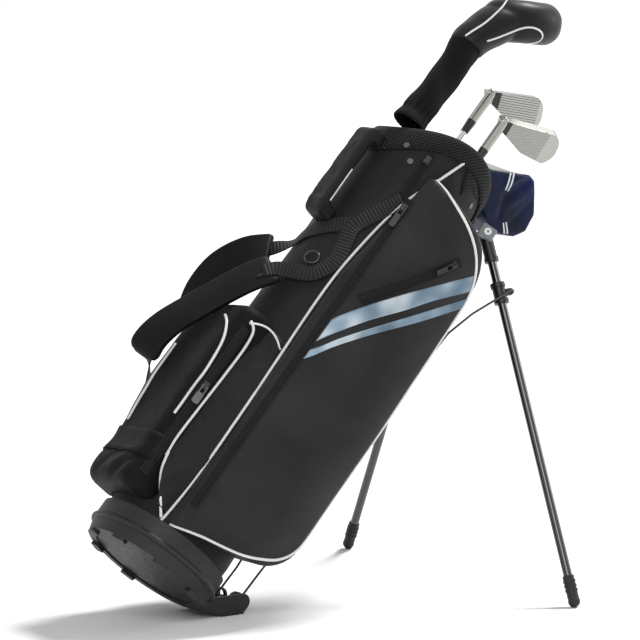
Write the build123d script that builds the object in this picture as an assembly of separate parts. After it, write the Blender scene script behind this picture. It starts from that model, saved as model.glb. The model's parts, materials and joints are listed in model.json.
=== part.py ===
from build123d import *
import os
from math import atan2, cos, degrees, radians, sin, sqrt

# Junior golf stand bag with two irons, a covered driver and a covered putter.
# Millimetres, +Z up. The origin is the middle of the foot flap's sole, on the ground;
# +X points from the flap towards the two legs, +Y to the bag's far side.
# The bag is modelled upright in its own frame (X to the leg side, Z up its axis, origin
# at the middle of the boot's ridge) and every bag piece is then leaned by bag_at.

# ---------------------------------------------------------------- stance
lean_angle = 42.5            # bag axis from the vertical
foot_reach = 388.0           # from the flap's sole to the line of the two feet
foot_spread = 498.0          # between the two feet

# ---------------------------------------------------------------- bag body
shell_radius = 85.0
shell_wall = 2.0
mouth_height = 672.0         # rim above the ridge, at the two sides
mouth_dip = 34.0             # how far the rim drops at the spine and at the legs
cuff_wall = 4.0
cuff_height = 60.0
collar_height = 25.0
collar_thick = 4.5
divider_bar = 7.0
divider_drop = 34.0          # divider top under the rim's lowest points
divider_height = 22.0
divider_x = -20.0            # cross bar from the bag axis, towards the spine
divider_side = 22.0          # the two bars on the leg side, each side of the middle
divider_ring = 2.5
stay_radius = 2.5
pocket_gap = 0.3             # a soft piece off the one beneath it
seat_gap = 0.2               # rigid pieces of one body

# ---------------------------------------------------------------- boot
ridge_radius = shell_radius + 9
boot_radius = shell_radius + 6
boot_top = 24.0
boot_depth = 19.0
boot_taper = 5.0
floor_thick = 18.0
ridge_size = 4.0
lug_count = 8
lug_length = 20.0
lug_drop = 4.0
lug_width = 12.0

# ---------------------------------------------------------------- foot flap
hinge_out = shell_radius - 3             # flap hinge from the bag axis
hinge_drop = 10.0            # flap hinge below the ridge
hinge_back = 44.0            # flap hinge behind the middle of the sole
hinge_high = 19.0            # flap hinge above the ground
flap_width = 72.0
flap_plate = 4.0
flap_cheek = 4.0
flap_knuckle = 7.0
flap_front = 5.5             # boot cut flat this far in front of the hinge
hinge_pin_radius = 2.5
running_gap = 0.05
sole_half = 14.0
eye_out = 46.0               # rod eye from the flap hinge, across the bag
eye_up = 38.0                # rod eye from the flap hinge, up the bag
eye_radius = 7.8
eye_rim = 2.6
eye_lug = 6.0
eye_side = 19.0              # rod eyes each side of the middle

# ---------------------------------------------------------------- legs
pivot_high = mouth_height - 53   # leg pivots above the ridge
pivot_out = shell_radius + 19
pivot_side = 48.0
leg_radius = 6.0
leg_bore = 5.0
pivot_pin = 4.0
knuckle_radius = 9.0
socket_radius = 8.6
eye_width = 2 * (socket_radius + 0.4)
socket_length = 38.0
clip_down = 82.0             # rod clip below the pivot
clip_radius = 10.0
clip_length = 28.0
hook_out = 15.0              # rod hook from the leg's middle
foot_radius = 8.0
foot_length = 34.0
cap_across = 22.0
cap_tall = 18.0
cap_thick = 7.0
cheek_thick = 6.0
arm_radius = 5.5
block_drop = 47.0            # bracket block under and over the pivots
block_rise = 12.0
rivet_radius = 5.0
rod_radius = 1.5
rod_axis_tilt = 0.0533       # rod hook's lean towards the leg, per unit of hinge axis
rod_axis_twist = -0.0125
rod_stand = 3.5              # rod off the side of the clip and of the eye
rod_bend = (-61.0, 23.0)     # rod's bend beside the leg, from the hook: out and down
rod_cross = (-96.0, 2.5, 41.0)  # rod's bend behind the leg: out, outward and down

# ---------------------------------------------------------------- pockets
seam_out = shell_radius - 22  # where a pocket's panel starts at the seam
seam_side = shell_radius - 14
pocket_edge = shell_radius + 23  # outer edge of the big pocket's panel from the bag axis
pocket_outline = (           # across and up: the seam to the mouth, then the leg side
    (8 - seam_out, 25.0), (5 - seam_out, 430.0), (25 - seam_out, mouth_height - 70),
    (pocket_edge - 11, mouth_height - 101), (pocket_edge + 5, 66.0))
pocket_panel = shell_radius + 23  # how far that edge stands out sideways
pocket_crown = shell_radius + 36  # how far the middle of the panel stands out
pocket_round = 78.0
pocket_edge_round = 7.0
ball_top = 322.0
ball_base = 36.0
ball_out = shell_radius + 34
ball_near = 52.0             # ball pocket's sides from the spine, before its turn
ball_far = 70.0
ball_turn = 6.0              # ball pocket's turn from the spine, to the far side
ball_round = 24.0
far_edge = shell_radius + 7
far_outline = (
    (7 - seam_out, 120.0), (7 - seam_out, 430.0), (far_edge - 11, 407.0), (far_edge + 9, 157.0))
far_panel = shell_radius + 11
far_crown = shell_radius + 23
far_round = 45.0

# ---------------------------------------------------------------- handle, straps and zips
handle_low = mouth_height - 172
handle_high = mouth_height - 66
handle_out = 30.0
handle_thick = 14.0
handle_width = 34.0
handle_foot = 18.0
pad_width = 40.0
pad_thick = 9.0
webbing_width = 22.0
webbing_thick = 2.0
webbing_lift = 1.0           # lofted this far out, then cut to the fabric
zip_width = 11.0
zip_tape = 1.6
zip_teeth = 2.4              # teeth and tape together
slider_long = 12.0
slider_wide = 8.5
pull_pin = 0.9
main_zip_x = -48.0           # main zip on the panel, from the bag axis
main_zip_span = (60.0, mouth_height - 116)
main_slider_high = mouth_height - 132
valuables_run = ((-32.0, 406.0), (46.0, 533.0))
ball_zip_turn = 245.0        # ball zip round the pocket's near corner
ball_zip_span = (60.0, 290.0)
ball_slider_high = 196.0
upper_zip_turn = 54.0
upper_zip_span = (mouth_height - 116, mouth_height - 42)
upper_slider_high = mouth_height - 54

# ---------------------------------------------------------------- clubs
grip_radius = 11.5
grip_tip = 8.5
grip_length = 235.0
grip_clear = 0.3
grip_floor = 5.0             # closed butt end of a grip
shaft_butt = 6.3
shaft_tip = 4.6
tip_length = 130.0           # parallel tip of a shaft
hosel_radius = 6.6
hosel_length = 50.0
tip_depth = 17.0             # shaft tip short of the heel
ferrule_length = 20.0
driver_spot = (-62.0, -12.0)  # each club's place in the mouth, across and sideways
iron_1_spot = (41.0, 44.0)
iron_2_spot = (27.0, -45.0)
putter_spot = (64.0, 0.0)
driver_heel = mouth_height + 166          # heel of each head above the ridge
iron_1_heel = mouth_height + 137
iron_2_heel = mouth_height + 80
putter_heel = mouth_height + 18
iron_length = 90.0
iron_toe = 52.0
iron_sole = 13.0
iron_top = 4.0
driver_lie = 37.0
driver_reach = 42.0          # driver head centre from its shaft, and above its heel
driver_rise = 47.0
driver_long = 56.0           # half sizes of the driver head
driver_deep = 36.0
driver_tall = 23.0
cover_wall = 5.0
cover_clear = 0.3
sock_base = mouth_height - 11
sock_wall = 3.0
putter_lie = 24.0
putter_long = 92.0
putter_tall = 22.0
putter_deep = 26.0
putter_cover_deep = 50.0

# ---------------------------------------------------------------- derived frame
lean = radians(lean_angle)
across = Vector(cos(lean), 0, -sin(lean))
along = Vector(sin(lean), 0, cos(lean))
hinge_world = Vector(-hinge_back, 0, hinge_high)
ridge_world = hinge_world - across * hinge_out + along * hinge_drop
bag_plane = Plane(origin=ridge_world, x_dir=across, z_dir=along)
bag_at = bag_plane.location

saved = {}


def save(name, shape):
    """Write one node's STEP file, and keep the shape for the other pieces to fit."""
    solids = shape.solids()
    body = solids[0] if len(solids) == 1 else Compound(children=list(solids))
    body.label = name
    export_step(body, f"parts/{name}.step")
    saved[name] = body


def save_bag(name, shape):
    """The same, for a piece drawn in the upright bag's frame."""
    save(name, bag_at * shape)


def tube(outer, inner, low, high):
    """An upright tube on the bag axis."""
    wall = Cylinder(outer, high - low) - Cylinder(inner, high - low + 2)
    return Pos(0, 0, (low + high) / 2) * wall


def rod_between(start, end, radius, inner=0.0):
    """A round bar, or a tube, from one point to another."""
    run = end - start
    base = Plane(origin=start, z_dir=run)
    bar = extrude(base * Circle(radius), run.length)
    if inner:
        bar -= extrude(base * Circle(inner), run.length)
    return bar


def cone_between(start, end, radius_start, radius_end):
    run = end - start
    cone = Cone(radius_start, radius_end, run.length, align=(Align.CENTER, Align.CENTER, Align.MIN))
    return Plane(origin=start, z_dir=run).location * cone


# The rim is a saddle: an arc seen from the near side, low at the spine and at the legs.
rim_chord = shell_radius + collar_thick
rim_arc = (rim_chord**2 + mouth_dip**2) / (2 * mouth_dip)


def rim_prism(drop, depth):
    """A slab across the bag under the saddle, its top 'drop' below the rim, 'depth' thick."""
    middle = (0, mouth_height - rim_arc)
    reach = 2 * rim_chord
    upper = Circle(rim_arc - drop)
    lower = Circle(rim_arc - drop - depth)
    window = Pos(0, rim_arc * 0.75) * Rectangle(reach * 1.2, rim_arc)
    band = Pos(*middle) * ((upper & window) - lower)
    return extrude(Plane.XZ * band, reach, both=True)


def rim_height(x):
    """Height of the rim above the ridge, at a place across the bag."""
    return mouth_height - rim_arc + sqrt(rim_arc**2 - x**2)


rim_low = rim_height(rim_chord)
collar_low = mouth_height - rim_arc + sqrt((rim_arc - collar_height)**2 - rim_chord**2)


# ---------------------------------------------------------------- bag body
def bag_shell():
    """The fabric tube, from the boot's floor to the cuff, cut to the rim's saddle."""
    low = floor_thick - boot_depth + seat_gap
    body = tube(shell_radius, shell_radius - shell_wall, low, mouth_height)
    above = rim_prism(-80, 80 + collar_height * 0.4)
    return body - above


def top_cuff():
    """The moulded ring inside the mouth that holds the fabric round."""
    outer = shell_radius - shell_wall - seat_gap
    ring = tube(outer, outer - cuff_wall, rim_low - cuff_height, mouth_height)
    return ring - rim_prism(-80, 80 + collar_height * 0.4)


def collar_pad():
    """The padded band that follows the rim, outside and over the cuff."""
    inner = shell_radius - shell_wall - cuff_wall - seat_gap
    band = tube(shell_radius + collar_thick, shell_radius + seat_gap, rim_low - 60, mouth_height + 5)
    skirt = band & rim_prism(0, collar_height)
    ring = tube(shell_radius + collar_thick, inner, rim_low - 60, mouth_height + 5)
    top = ring & rim_prism(0, collar_height * 0.4 - seat_gap)
    return skirt + top


def club_divider():
    """The grid across the mouth: a ring, a cross bar and two bars on the leg side."""
    outer = shell_radius - shell_wall - cuff_wall - 2 * seat_gap
    high = rim_low - divider_drop
    low = high - divider_height
    middle = Pos(0, 0, (low + high) / 2)
    ring = tube(outer, outer - divider_ring, low, high)
    bars = Pos(divider_x, 0, 0) * Box(divider_bar, 2 * outer, divider_height)
    for side in (-1, 1):
        bar = Box(outer - divider_x, divider_bar, divider_height)
        bars += Pos((outer + divider_x) / 2, side * divider_side, 0) * bar
    disc = middle * Cylinder(outer - divider_ring / 2, divider_height)
    return ring + (middle * bars & disc)


def stay_rods():
    """Three battens inside the fabric that hold the cuff off the boot."""
    radius = shell_radius - shell_wall - stay_radius - seat_gap
    low = floor_thick - boot_depth
    high = rim_low - cuff_height - seat_gap
    stays = []
    for angle in (180, 62, -62):
        spot = Vector(radius * cos(radians(angle)), radius * sin(radians(angle)), low)
        stays.append(rod_between(spot, spot + Vector(0, 0, high - low), stay_radius))
    return Compound(children=stays)


def base_boot():
    """The rubber boot: a cup with a ridge, a recessed sole, tread lugs and hinge ears."""
    outside = loft([
        Plane.XY.offset(-boot_depth) * Circle(boot_radius - boot_taper),
        Plane.XY * Circle(boot_radius),
    ])
    outside += Pos(0, 0, boot_top / 2) * Cylinder(boot_radius, boot_top)
    ridge = Torus(ridge_radius - ridge_size, ridge_size)
    well = Pos(0, 0, floor_thick - boot_depth) * Cylinder(
        shell_radius + seat_gap, 2 * boot_top, align=(Align.CENTER, Align.CENTER, Align.MIN))
    recess = Pos(0, 0, -boot_depth) * Cylinder(
        boot_radius - boot_taper - lug_width, lug_drop / 2, align=(Align.CENTER, Align.CENTER, Align.MIN))
    boot = outside + ridge - well - recess
    lug_at = boot_radius - boot_taper - lug_width / 2
    for i in range(lug_count):
        angle = 360 / lug_count * (i + 0.5)
        if abs((angle + 180) % 360 - 180) < 40:
            continue
        lug = Box(lug_width, lug_length, 2 * lug_drop, align=(Align.CENTER, Align.CENTER, Align.MIN))
        lug = fillet(lug.edges().filter_by(Axis.Z), 3)
        boot += Rot(0, 0, angle) * Pos(lug_at, 0, -boot_depth - lug_drop) * lug
    # the flap's cheeks, its pin's heads and its plate have their room cut in the boot
    inner = flap_width / 2 - flap_cheek - 0.4
    room = bag_at.inverse() * extrude(Plane.XZ * flap_side(1.0), flap_width / 2 + 1, both=True)
    heads = hinge_bar(hinge_pin_radius + 3.5, flap_width + 8)
    middle = Box(400, 2 * inner, 400)
    boot -= (room + heads) - middle
    front = Pos(hinge_out + flap_front + 30, 0, -hinge_drop) * Box(60, flap_width + 2, 26)
    boot -= front
    for side in (-1, 1):
        ear = Pos(hinge_out - 3, side * (inner - 4), -hinge_drop) * Box(2 * flap_front + 5, 8, 12)
        boot += ear
    return boot - hinge_bar(hinge_pin_radius + running_gap, flap_width + 10)


# ---------------------------------------------------------------- foot flap
def flap_point(x, z):
    """A place on the flap: across and up from its hinge, in the bag's frame."""
    return Vector(hinge_out + x, 0, -hinge_drop + z)


def flap_eye():
    """The middle of the rod eyes, as the bag stands."""
    return bag_plane.from_local_coords(flap_point(eye_out, eye_up))


def flap_side(grow):
    """The outline of a flap cheek in the ground frame, grown all round by a gap."""
    eye = flap_eye()
    knuckle = Pos(-hinge_back, hinge_high) * Circle(flap_knuckle + grow)
    return make_hull([
        *knuckle.edges(),
        *(Pos(-sole_half + 1, 1) * Circle(1 + grow)).edges(),
        *(Pos(sole_half, 2) * Circle(2 + grow)).edges(),
        *(Pos(eye.X, eye.Z) * Circle(eye_radius + eye_rim + grow)).edges(),
    ])


def hinge_bar(radius, width):
    """A round bar along the flap's hinge, drawn in the bag's frame."""
    return Pos(hinge_out, 0, -hinge_drop) * Rot(90, 0, 0) * Cylinder(radius, width)


def foot_plate():
    """The foot flap, drawn in the ground frame: sole plate, two cheeks and two rod eyes."""
    hinge = (-hinge_back, hinge_high)
    eye = flap_eye()
    floor = make_hull([
        *(Pos(hinge[0] + 7, hinge[1] - 7) * Circle(2)).edges(),
        *(Pos(-sole_half, 2) * Circle(2)).edges(),
        *(Pos(-sole_half + 8, flap_plate) * Circle(1)).edges(),
    ]) + Pos(0, (flap_plate) / 2) * Rectangle(2 * sole_half, flap_plate)
    inner = flap_width / 2 - flap_cheek
    plate = extrude(Plane.XZ * floor, flap_width / 2 - 0.5, both=True)
    cheek = extrude(Plane.XZ * flap_side(0), flap_cheek)
    flap = plate
    flap += Pos(0, -inner, 0) * cheek
    flap += Pos(0, inner + flap_cheek, 0) * cheek
    lug_shape = make_hull([
        *(Pos(eye.X, eye.Z) * Circle(eye_radius + eye_rim)).edges(),
        *(Pos(sole_half - 2, 2) * Circle(2)).edges(),
        *(Pos(sole_half - 20, 2) * Circle(2)).edges(),
    ])
    lug = extrude(Plane.XZ * lug_shape, eye_lug)
    for side in (-1, 1):
        flap += Pos(0, side * eye_side + eye_lug / 2, 0) * lug
    eyes = Pos(eye.X, 0, eye.Z) * Rot(90, 0, 0) * Cylinder(eye_radius, 2 * inner - 1)
    bore = Pos(hinge[0], 0, hinge[1]) * Rot(90, 0, 0) * Cylinder(hinge_pin_radius + running_gap, 2 * flap_width)
    return flap - eyes - bore


def foot_pin():
    """The steel pin of the flap's hinge, headed at both ends."""
    half = flap_width / 2 + 0.3
    pin = Cylinder(hinge_pin_radius, 2 * half)
    pin += Pos(0, 0, half + 0.75) * Cylinder(hinge_pin_radius + 1.8, 1.5)
    pin += Pos(0, 0, -half - 0.75) * Cylinder(hinge_pin_radius + 1.8, 1.5)
    return Pos(hinge_out, 0, -hinge_drop) * Rot(90, 0, 0) * pin


# ---------------------------------------------------------------- legs
class Leg:
    """One leg's own frame: pivot, direction, hinge axis and outward swing (row frame)."""

    def __init__(self, side):
        self.side = side
        self.pivot = bag_plane.from_local_coords(Vector(pivot_out, side * pivot_side, pivot_high))
        self.foot = Vector(foot_reach, side * foot_spread / 2, foot_radius)
        run = self.foot - self.pivot
        self.length = run.length
        self.down = run.normalized()
        fold = along * -1
        turn = fold.cross(self.down)
        self.angle = degrees(atan2(turn.length, fold.dot(self.down)))
        self.hinge = turn.normalized()
        self.out = self.hinge.cross(self.down)
        self.plane = Plane(origin=self.pivot, x_dir=self.out, z_dir=self.down)
        self.hook = self.pivot + self.down * clip_down + self.out * hook_out
        self.outward = self.hinge * -side
        tilt = self.outward + self.down * rod_axis_tilt + self.out * rod_axis_twist
        self.rod_axis = tilt.normalized()


legs = {"near": Leg(-1), "far": Leg(1)}


def leg_tube(leg):
    start = leg.pivot + leg.down * (knuckle_radius + 4)
    end = leg.foot - leg.down * 4
    return rod_between(start, end, leg_radius, leg_bore)


def leg_socket(leg):
    """The moulded top of the leg: an eye round the pivot and a sleeve on the tube."""
    eye = leg.plane.location * (Rot(90, 0, 0) * Cylinder(knuckle_radius, eye_width))
    sleeve = rod_between(leg.pivot + leg.down * 2, leg.pivot + leg.down * socket_length, socket_radius)
    ring = rod_between(
        leg.pivot + leg.down * (socket_length - 6), leg.pivot + leg.down * socket_length, socket_radius + 1)
    body = eye + sleeve + ring
    body -= rod_between(
        leg.pivot + leg.down * (knuckle_radius + 4 - seat_gap),
        leg.pivot + leg.down * (socket_length + 1), leg_radius + running_gap)
    body -= leg.plane.location * (Rot(90, 0, 0) * Cylinder(pivot_pin + running_gap, eye_width + 12))
    return body


def leg_clip(leg):
    """The collar on the leg that takes the rod's hook, with a rib at each end."""
    middle = leg.pivot + leg.down * clip_down
    half = clip_length / 2
    body = rod_between(middle - leg.down * half, middle + leg.down * half, clip_radius - 1.5)
    for end in (-1, 1):
        rib = middle + leg.down * end * (half - 3)
        body += rod_between(rib - leg.down * 3, rib + leg.down * 3, clip_radius)
    lug_plane = Plane(origin=leg.hook, x_dir=leg.down, z_dir=leg.rod_axis)
    lug = extrude(lug_plane * Circle(4.5), 3.0, both=True)
    neck_middle = middle + leg.out * (hook_out / 2 + 1)
    neck = Plane(origin=neck_middle, x_dir=leg.out, z_dir=leg.down).location * Box(hook_out - 4, 6, 9)
    body += lug + neck
    body -= extrude(lug_plane * Circle(rod_radius + running_gap), 12, both=True)
    body -= rod_between(
        middle - leg.down * (half + 1), middle + leg.down * (half + 1), leg_radius + running_gap)
    return body


def leg_foot(leg):
    """The rubber foot: a tapered sleeve with a ribbed neck and a round end on the ground."""
    top = leg.foot - leg.down * foot_length
    body = cone_between(top, leg.foot, leg_radius + 1.6, foot_radius - 0.5)
    body += Pos(*leg.foot) * Sphere(foot_radius)
    for step in (6, 12, 18):
        rib = top + leg.down * step
        body += rod_between(rib, rib + leg.down * 2.5, foot_radius + 0.4)
    return body - rod_between(top - leg.down, leg.foot - leg.down * (4 - seat_gap), leg_radius + running_gap)


def leg_rod(leg):
    """The spring-steel rod from the leg's clip down to the flap's eye, hooked at both ends."""
    eye = flap_eye() + Vector(0, leg.side * eye_side, 0)
    reach = Vector(0, leg.side * (eye_lug / 2 + rod_stand), 0)
    beside = clip_radius + rod_stand

    def by_leg(out, outward, down):
        return leg.hook + leg.out * out + leg.rod_axis * outward + leg.down * down

    def by_eye(up, out):
        return eye + reach + along * up + across * out

    points = [
        eye - reach,
        eye + reach,
        by_eye(45, 2),
        by_leg(*rod_cross),
        by_leg(rod_bend[0], beside, rod_bend[1]),
        leg.hook + leg.rod_axis * beside,
        leg.hook - leg.rod_axis * 5.5,
    ]
    path = FilletPolyline(*points, radius=[2.6, 30, 20, 12, 2.6])
    section = Plane(origin=points[0], z_dir=points[1] - points[0]) * Circle(rod_radius)
    return sweep(section, path=path, transition=Transition.ROUND)


# ---------------------------------------------------------------- leg bracket
def leg_bracket():
    """The moulding on the leg side of the mouth: a saddle block and two angled pivot studs."""
    low = pivot_high - block_drop
    high = pivot_high + block_rise
    front = pivot_out - 8
    side = pivot_side - 18
    block = Pos(front / 2, 0, (low + high) / 2) * Box(front, 2 * side, high - low)
    block = fillet(block.edges().filter_by(Axis.Z).sort_by(Axis.X)[-2:], 6)
    plate = tube(shell_radius + pocket_gap + 3, shell_radius, low, collar_low - pocket_gap)
    plate = plate & (Pos(shell_radius, 0, pivot_high) * Box(shell_radius, 2 * pivot_side - 4, 200))
    body = bag_at * (plate + block)
    for leg in legs.values():
        inward = leg.outward * -1
        seat = leg.pivot + inward * (eye_width / 2 + 0.4)
        cheek_plane = Plane(origin=seat, x_dir=along, z_dir=inward)
        body += extrude(cheek_plane * RectangleRounded(cap_across, 20, 4), cheek_thick)
        arm_end = bag_plane.from_local_coords(
            Vector(shell_radius, leg.side * (side - 10), pivot_high - 8))
        body += rod_between(seat + inward * (arm_radius + pocket_gap), arm_end, arm_radius)
        stud = leg.pivot + leg.outward * (eye_width / 2 + 0.4)
        body += rod_between(seat, stud, pivot_pin)
    return body - bag_at * (tube_room(mouth_height) + collar_room())


def bracket_caps():
    """The grey caps that close the two pivots."""
    caps = []
    for leg in legs.values():
        outward = leg.outward
        seat = leg.pivot + outward * (eye_width / 2 + 0.4)
        cap_plane = Plane(origin=seat, x_dir=along, z_dir=outward)
        cap = extrude(cap_plane * RectangleRounded(cap_tall, cap_across, 3), cap_thick)
        cap = chamfer(cap.faces().sort_by(Axis(seat, outward))[-1].edges(), 1)
        caps.append(cap)
    return Compound(children=caps)


def pivot_rivets():
    """The bright rivet washers on the caps."""
    rivets = []
    for leg in legs.values():
        outward = leg.outward
        seat = leg.pivot + outward * (eye_width / 2 + 0.4 + cap_thick)
        face = Plane(origin=seat, z_dir=outward)
        rivets.append(extrude(face * (Circle(rivet_radius) - Circle(rivet_radius * 0.36)), 1.2))
    return Compound(children=rivets)


# ---------------------------------------------------------------- pockets
def tube_room(high):
    """The space the shell takes, with the soft pieces' gap."""
    return Cylinder(shell_radius + pocket_gap, high * 4)


def collar_room():
    """The space the padded collar takes, with the same gap."""
    return Pos(0, 0, collar_low - pocket_gap) * Cylinder(
        shell_radius + collar_thick + pocket_gap, 200, align=(Align.CENTER, Align.CENTER, Align.MIN))


def panel_bow(edge, panel, crown):
    """The bow of a pocket's panel, from its seam to its leg side, drawn on the far side."""
    return ThreePointArc((-seam_out, seam_side), (edge * 0.22, crown), (edge, panel))


def side_pocket(side, outline, edge, panel, crown, turn):
    """A puffed pocket on one side of the bag: its outline across and up, and its bowed panel."""
    bow = panel_bow(edge, panel, crown)
    section = make_face([
        bow,
        Line((edge, panel), (edge - 14, panel - 26)),
        Line((edge - 14, panel - 26), (0.60 * shell_radius, 0.60 * shell_radius)),
        Line((0.60 * shell_radius, 0.60 * shell_radius), (-0.60 * shell_radius, 0.60 * shell_radius)),
        Line((-0.60 * shell_radius, 0.60 * shell_radius), bow @ 0),
    ])
    block = extrude(Plane.XY * section, mouth_height)
    face = Polygon(*outline, align=None)
    face = fillet(face.vertices().sort_by(Axis.X)[-2:], turn)
    pocket = block & extrude(Plane.XZ * face, 2 * crown, both=True)
    pocket -= tube_room(mouth_height)
    outer = pocket.faces().sort_by(lambda f: -f.center().Y)[0]
    pocket = fillet(outer.edges(), pocket_edge_round)
    return pocket if side > 0 else mirror(pocket, Plane.XZ)


def ball_pocket():
    """The ball pocket low on the spine: a boxy pocket with round corners."""
    high = ball_top - ball_base
    middle = (ball_far - ball_near) / 2
    box = Pos(-ball_out + 30, middle, (ball_top + ball_base) / 2) * Box(60, ball_far + ball_near, high)
    box = fillet(box.edges().filter_by(Axis.Z).sort_by(Axis.X)[:2], ball_round)
    top_edge = box.edges().filter_by(Axis.Y).sort_by(Axis.X)[:2]
    box = fillet(top_edge, 14)
    beyond = Pos(-seam_out - 1, shell_radius * 0.65, 0) * Box(
        100, 100, 3 * ball_top, align=(Align.MIN, Align.MIN, Align.CENTER))
    return Rot(0, 0, -ball_turn) * box - tube_room(ball_top) - beyond


# ---------------------------------------------------------------- straps and handle
def strap(places, width, thick):
    """A strap lofted through places, each with the way its face looks."""
    spots = [Vector(*spot) for spot, _ in places]
    rings = []
    for i, (_, facing) in enumerate(places):
        run = (spots[min(i + 1, len(spots) - 1)] - spots[max(i - 1, 0)]).normalized()
        out = Vector(*facing)
        out = (out - run * out.dot(run)).normalized()
        base = Plane(origin=spots[i] + out * (thick / 2), x_dir=out.cross(run), z_dir=run)
        rings.append(base * Rectangle(width, thick))
    return loft(rings)


def on_shell(turn, high, off=webbing_lift):
    """A place on the fabric tube: degrees from the spine to the near side, and its height."""
    way = (-cos(radians(turn)), -sin(radians(turn)), 0)
    radius = shell_radius + off
    return ((radius * way[0], radius * way[1], high), way)


def strap_pad_near():
    """The near shoulder pad, looped over the ball pocket."""
    return strap([
        ((-97, 2, 391), (-0.95, -0.30, 0.0)),
        ((-115, 20, 352), (-0.90, -0.38, 0.20)),
        ((-134, 48, 290), (-0.84, -0.42, 0.30)),
        ((-143, 82, 228), (-0.85, -0.30, 0.30)),
    ], pad_width, pad_thick)


def strap_pad_far():
    """The far shoulder pad, round the far side."""
    return strap([
        ((-93, 42, 419), (-0.90, 0.30, 0.30)),
        ((-100, 78, 400), (-0.86, 0.35, 0.45)),
        ((-98, 107, 369), (-0.80, 0.60, 0.30)),
        ((-84, 113, 318), (-0.60, 0.80, 0.10)),
    ], pad_width, pad_thick)


def strap_webbing_near():
    """The near strap's webbing: from the long seam to the pad, and from the pad to the tube."""
    upper = strap([
        on_shell(50, 540), on_shell(42, 498), on_shell(32, 458), on_shell(17, 424),
        ((-96.0, -1.3, 393.3), (-0.95, -0.30, 0.0)),
    ], webbing_width, webbing_thick)
    tail = strap([
        ((-146, 87, 219), (-0.85, -0.20, 0.30)),
        ((-136, 101, 186), (-0.80, 0.30, 0.10)),
        ((-102, 104, 150), (-0.60, 0.70, 0.0)),
        ((-66, 96, 114), (-0.60, 0.80, 0.0)),
        on_shell(-100, 62),
    ], webbing_width, webbing_thick)
    return Compound(children=[upper - tube_room(mouth_height), tail - tube_room(mouth_height)])


def strap_webbing_far():
    """The far strap's webbing: from the spine to the pad, and from the pad to the tube."""
    upper = strap([
        on_shell(12, 456), on_shell(-6, 447), on_shell(-18, 437),
        ((-91.8, 37.6, 422.5), (-0.90, 0.30, 0.30)),
    ], webbing_width, webbing_thick)
    tail = strap([
        ((-82, 114, 310), (-0.60, 0.80, 0.1)),
        ((-70, 120, 240), (-0.40, 0.90, 0.0)),
        ((-50, 112, 160), (-0.40, 0.90, 0.0)),
        on_shell(-108, 98),
    ], webbing_width, webbing_thick)
    return Compound(children=[upper - tube_room(mouth_height), tail - tube_room(mouth_height)])


def carry_handle():
    """The padded grab handle on the spine, its two feet sewn to the bag."""
    low, high = handle_low - handle_foot, handle_high + handle_foot
    outer_x = -(shell_radius + handle_out)
    middle = (low + high) / 2
    form = Pos(outer_x + handle_out, middle) * RectangleRounded(2 * handle_out, high - low, 12)
    gap_x = outer_x + handle_thick
    hand_gap = Pos(gap_x + handle_out, middle) * RectangleRounded(2 * handle_out, handle_high - handle_low, 6)
    bar = extrude(Plane.XZ * (form - hand_gap), handle_width / 2, both=True)
    return bar - tube_room(mouth_height) - collar_room()


# ---------------------------------------------------------------- zips
def zip_strip(start, end, out):
    """A straight zip: a flat tape with a raised line of teeth."""
    run = end - start
    base = Plane(origin=start, x_dir=out, z_dir=run)
    tape = extrude(base * (Pos(zip_tape / 2, 0) * Rectangle(zip_tape, zip_width)), run.length)
    teeth = extrude(base * (Pos(zip_teeth / 2, 0) * Rectangle(zip_teeth, 3.6)), run.length)
    return tape + teeth


def zip_slider(spot, run, out):
    """A slider over the teeth: a body with a bridge across its lower end."""
    base = Plane(origin=spot + out * (zip_teeth + pocket_gap), x_dir=out, z_dir=run)
    body = extrude(base * (Pos(1.6, 0) * RectangleRounded(3.2, slider_wide, 1.2)), slider_long / 2, both=True)
    bridge = base.location * (Pos(4.6, 0, 0) * Box(3.2, 3.0, slider_long - 2))
    slot = base.location * (Pos(4.4, 0, -1) * Rot(90, 0, 0) * Cylinder(pull_pin + running_gap, 20))
    return body + bridge - slot


def zip_pull(spot, run, out, length, width):
    """The pull: a pin through the bridge, two side bars and a tab."""
    base = Plane(origin=spot + out * (zip_teeth + pocket_gap), x_dir=out, z_dir=run)
    pin = Rot(90, 0, 0) * Cylinder(pull_pin, 8.0)
    pull = pin
    for side in (-1, 1):
        pull += Pos(0, side * 3.4, -5) * Box(1.8, 1.6, 11.5)
    tab = Pos(0, 0, -10 - length / 2) * Box(1.8, width, length)
    tab = fillet(tab.edges().filter_by(Axis.X), 0.3 * width)
    return base.location * (Pos(4.4, 0, -1) * (pull + tab))


def panel_arc():
    """The big pocket's own bow."""
    return panel_bow(pocket_edge, pocket_panel, pocket_crown)


def panel_spot(x, high):
    """A place on the big pocket's bowed panel, and the way out of it."""
    arc = panel_arc()
    centre = arc.arc_center
    y = centre.Y + sqrt(arc.radius**2 - (x - centre.X)**2)
    way = Vector((x - centre.X) / arc.radius, -(y - centre.Y) / arc.radius, 0)
    return Vector(x, -y, high) + way * pocket_gap, way


def valuables_zip():
    """The slanted zip on the big pocket's panel, bent to the panel's bow."""
    arc = panel_arc()
    centre = arc.arc_center
    base = Pos(centre.X, -centre.Y, 0)

    def layer(low, high):
        ring = Cylinder(arc.radius + high, 4 * mouth_height) - Cylinder(arc.radius + low, 4 * mouth_height)
        return base * ring

    (x0, h0), (x1, h1) = valuables_run
    slope = degrees(atan2(h1 - h0, x1 - x0))
    length = sqrt((x1 - x0)**2 + (h1 - h0)**2)
    place = Pos((x0 + x1) / 2, -pocket_crown, (h0 + h1) / 2) * Rot(0, -slope, 0)
    tape = layer(pocket_gap, pocket_gap + zip_tape) & (place * Box(length, 100, zip_width * 1.2))
    teeth = layer(pocket_gap, pocket_gap + zip_teeth) & (place * Box(length, 100, 4.4))
    return tape + teeth


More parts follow.
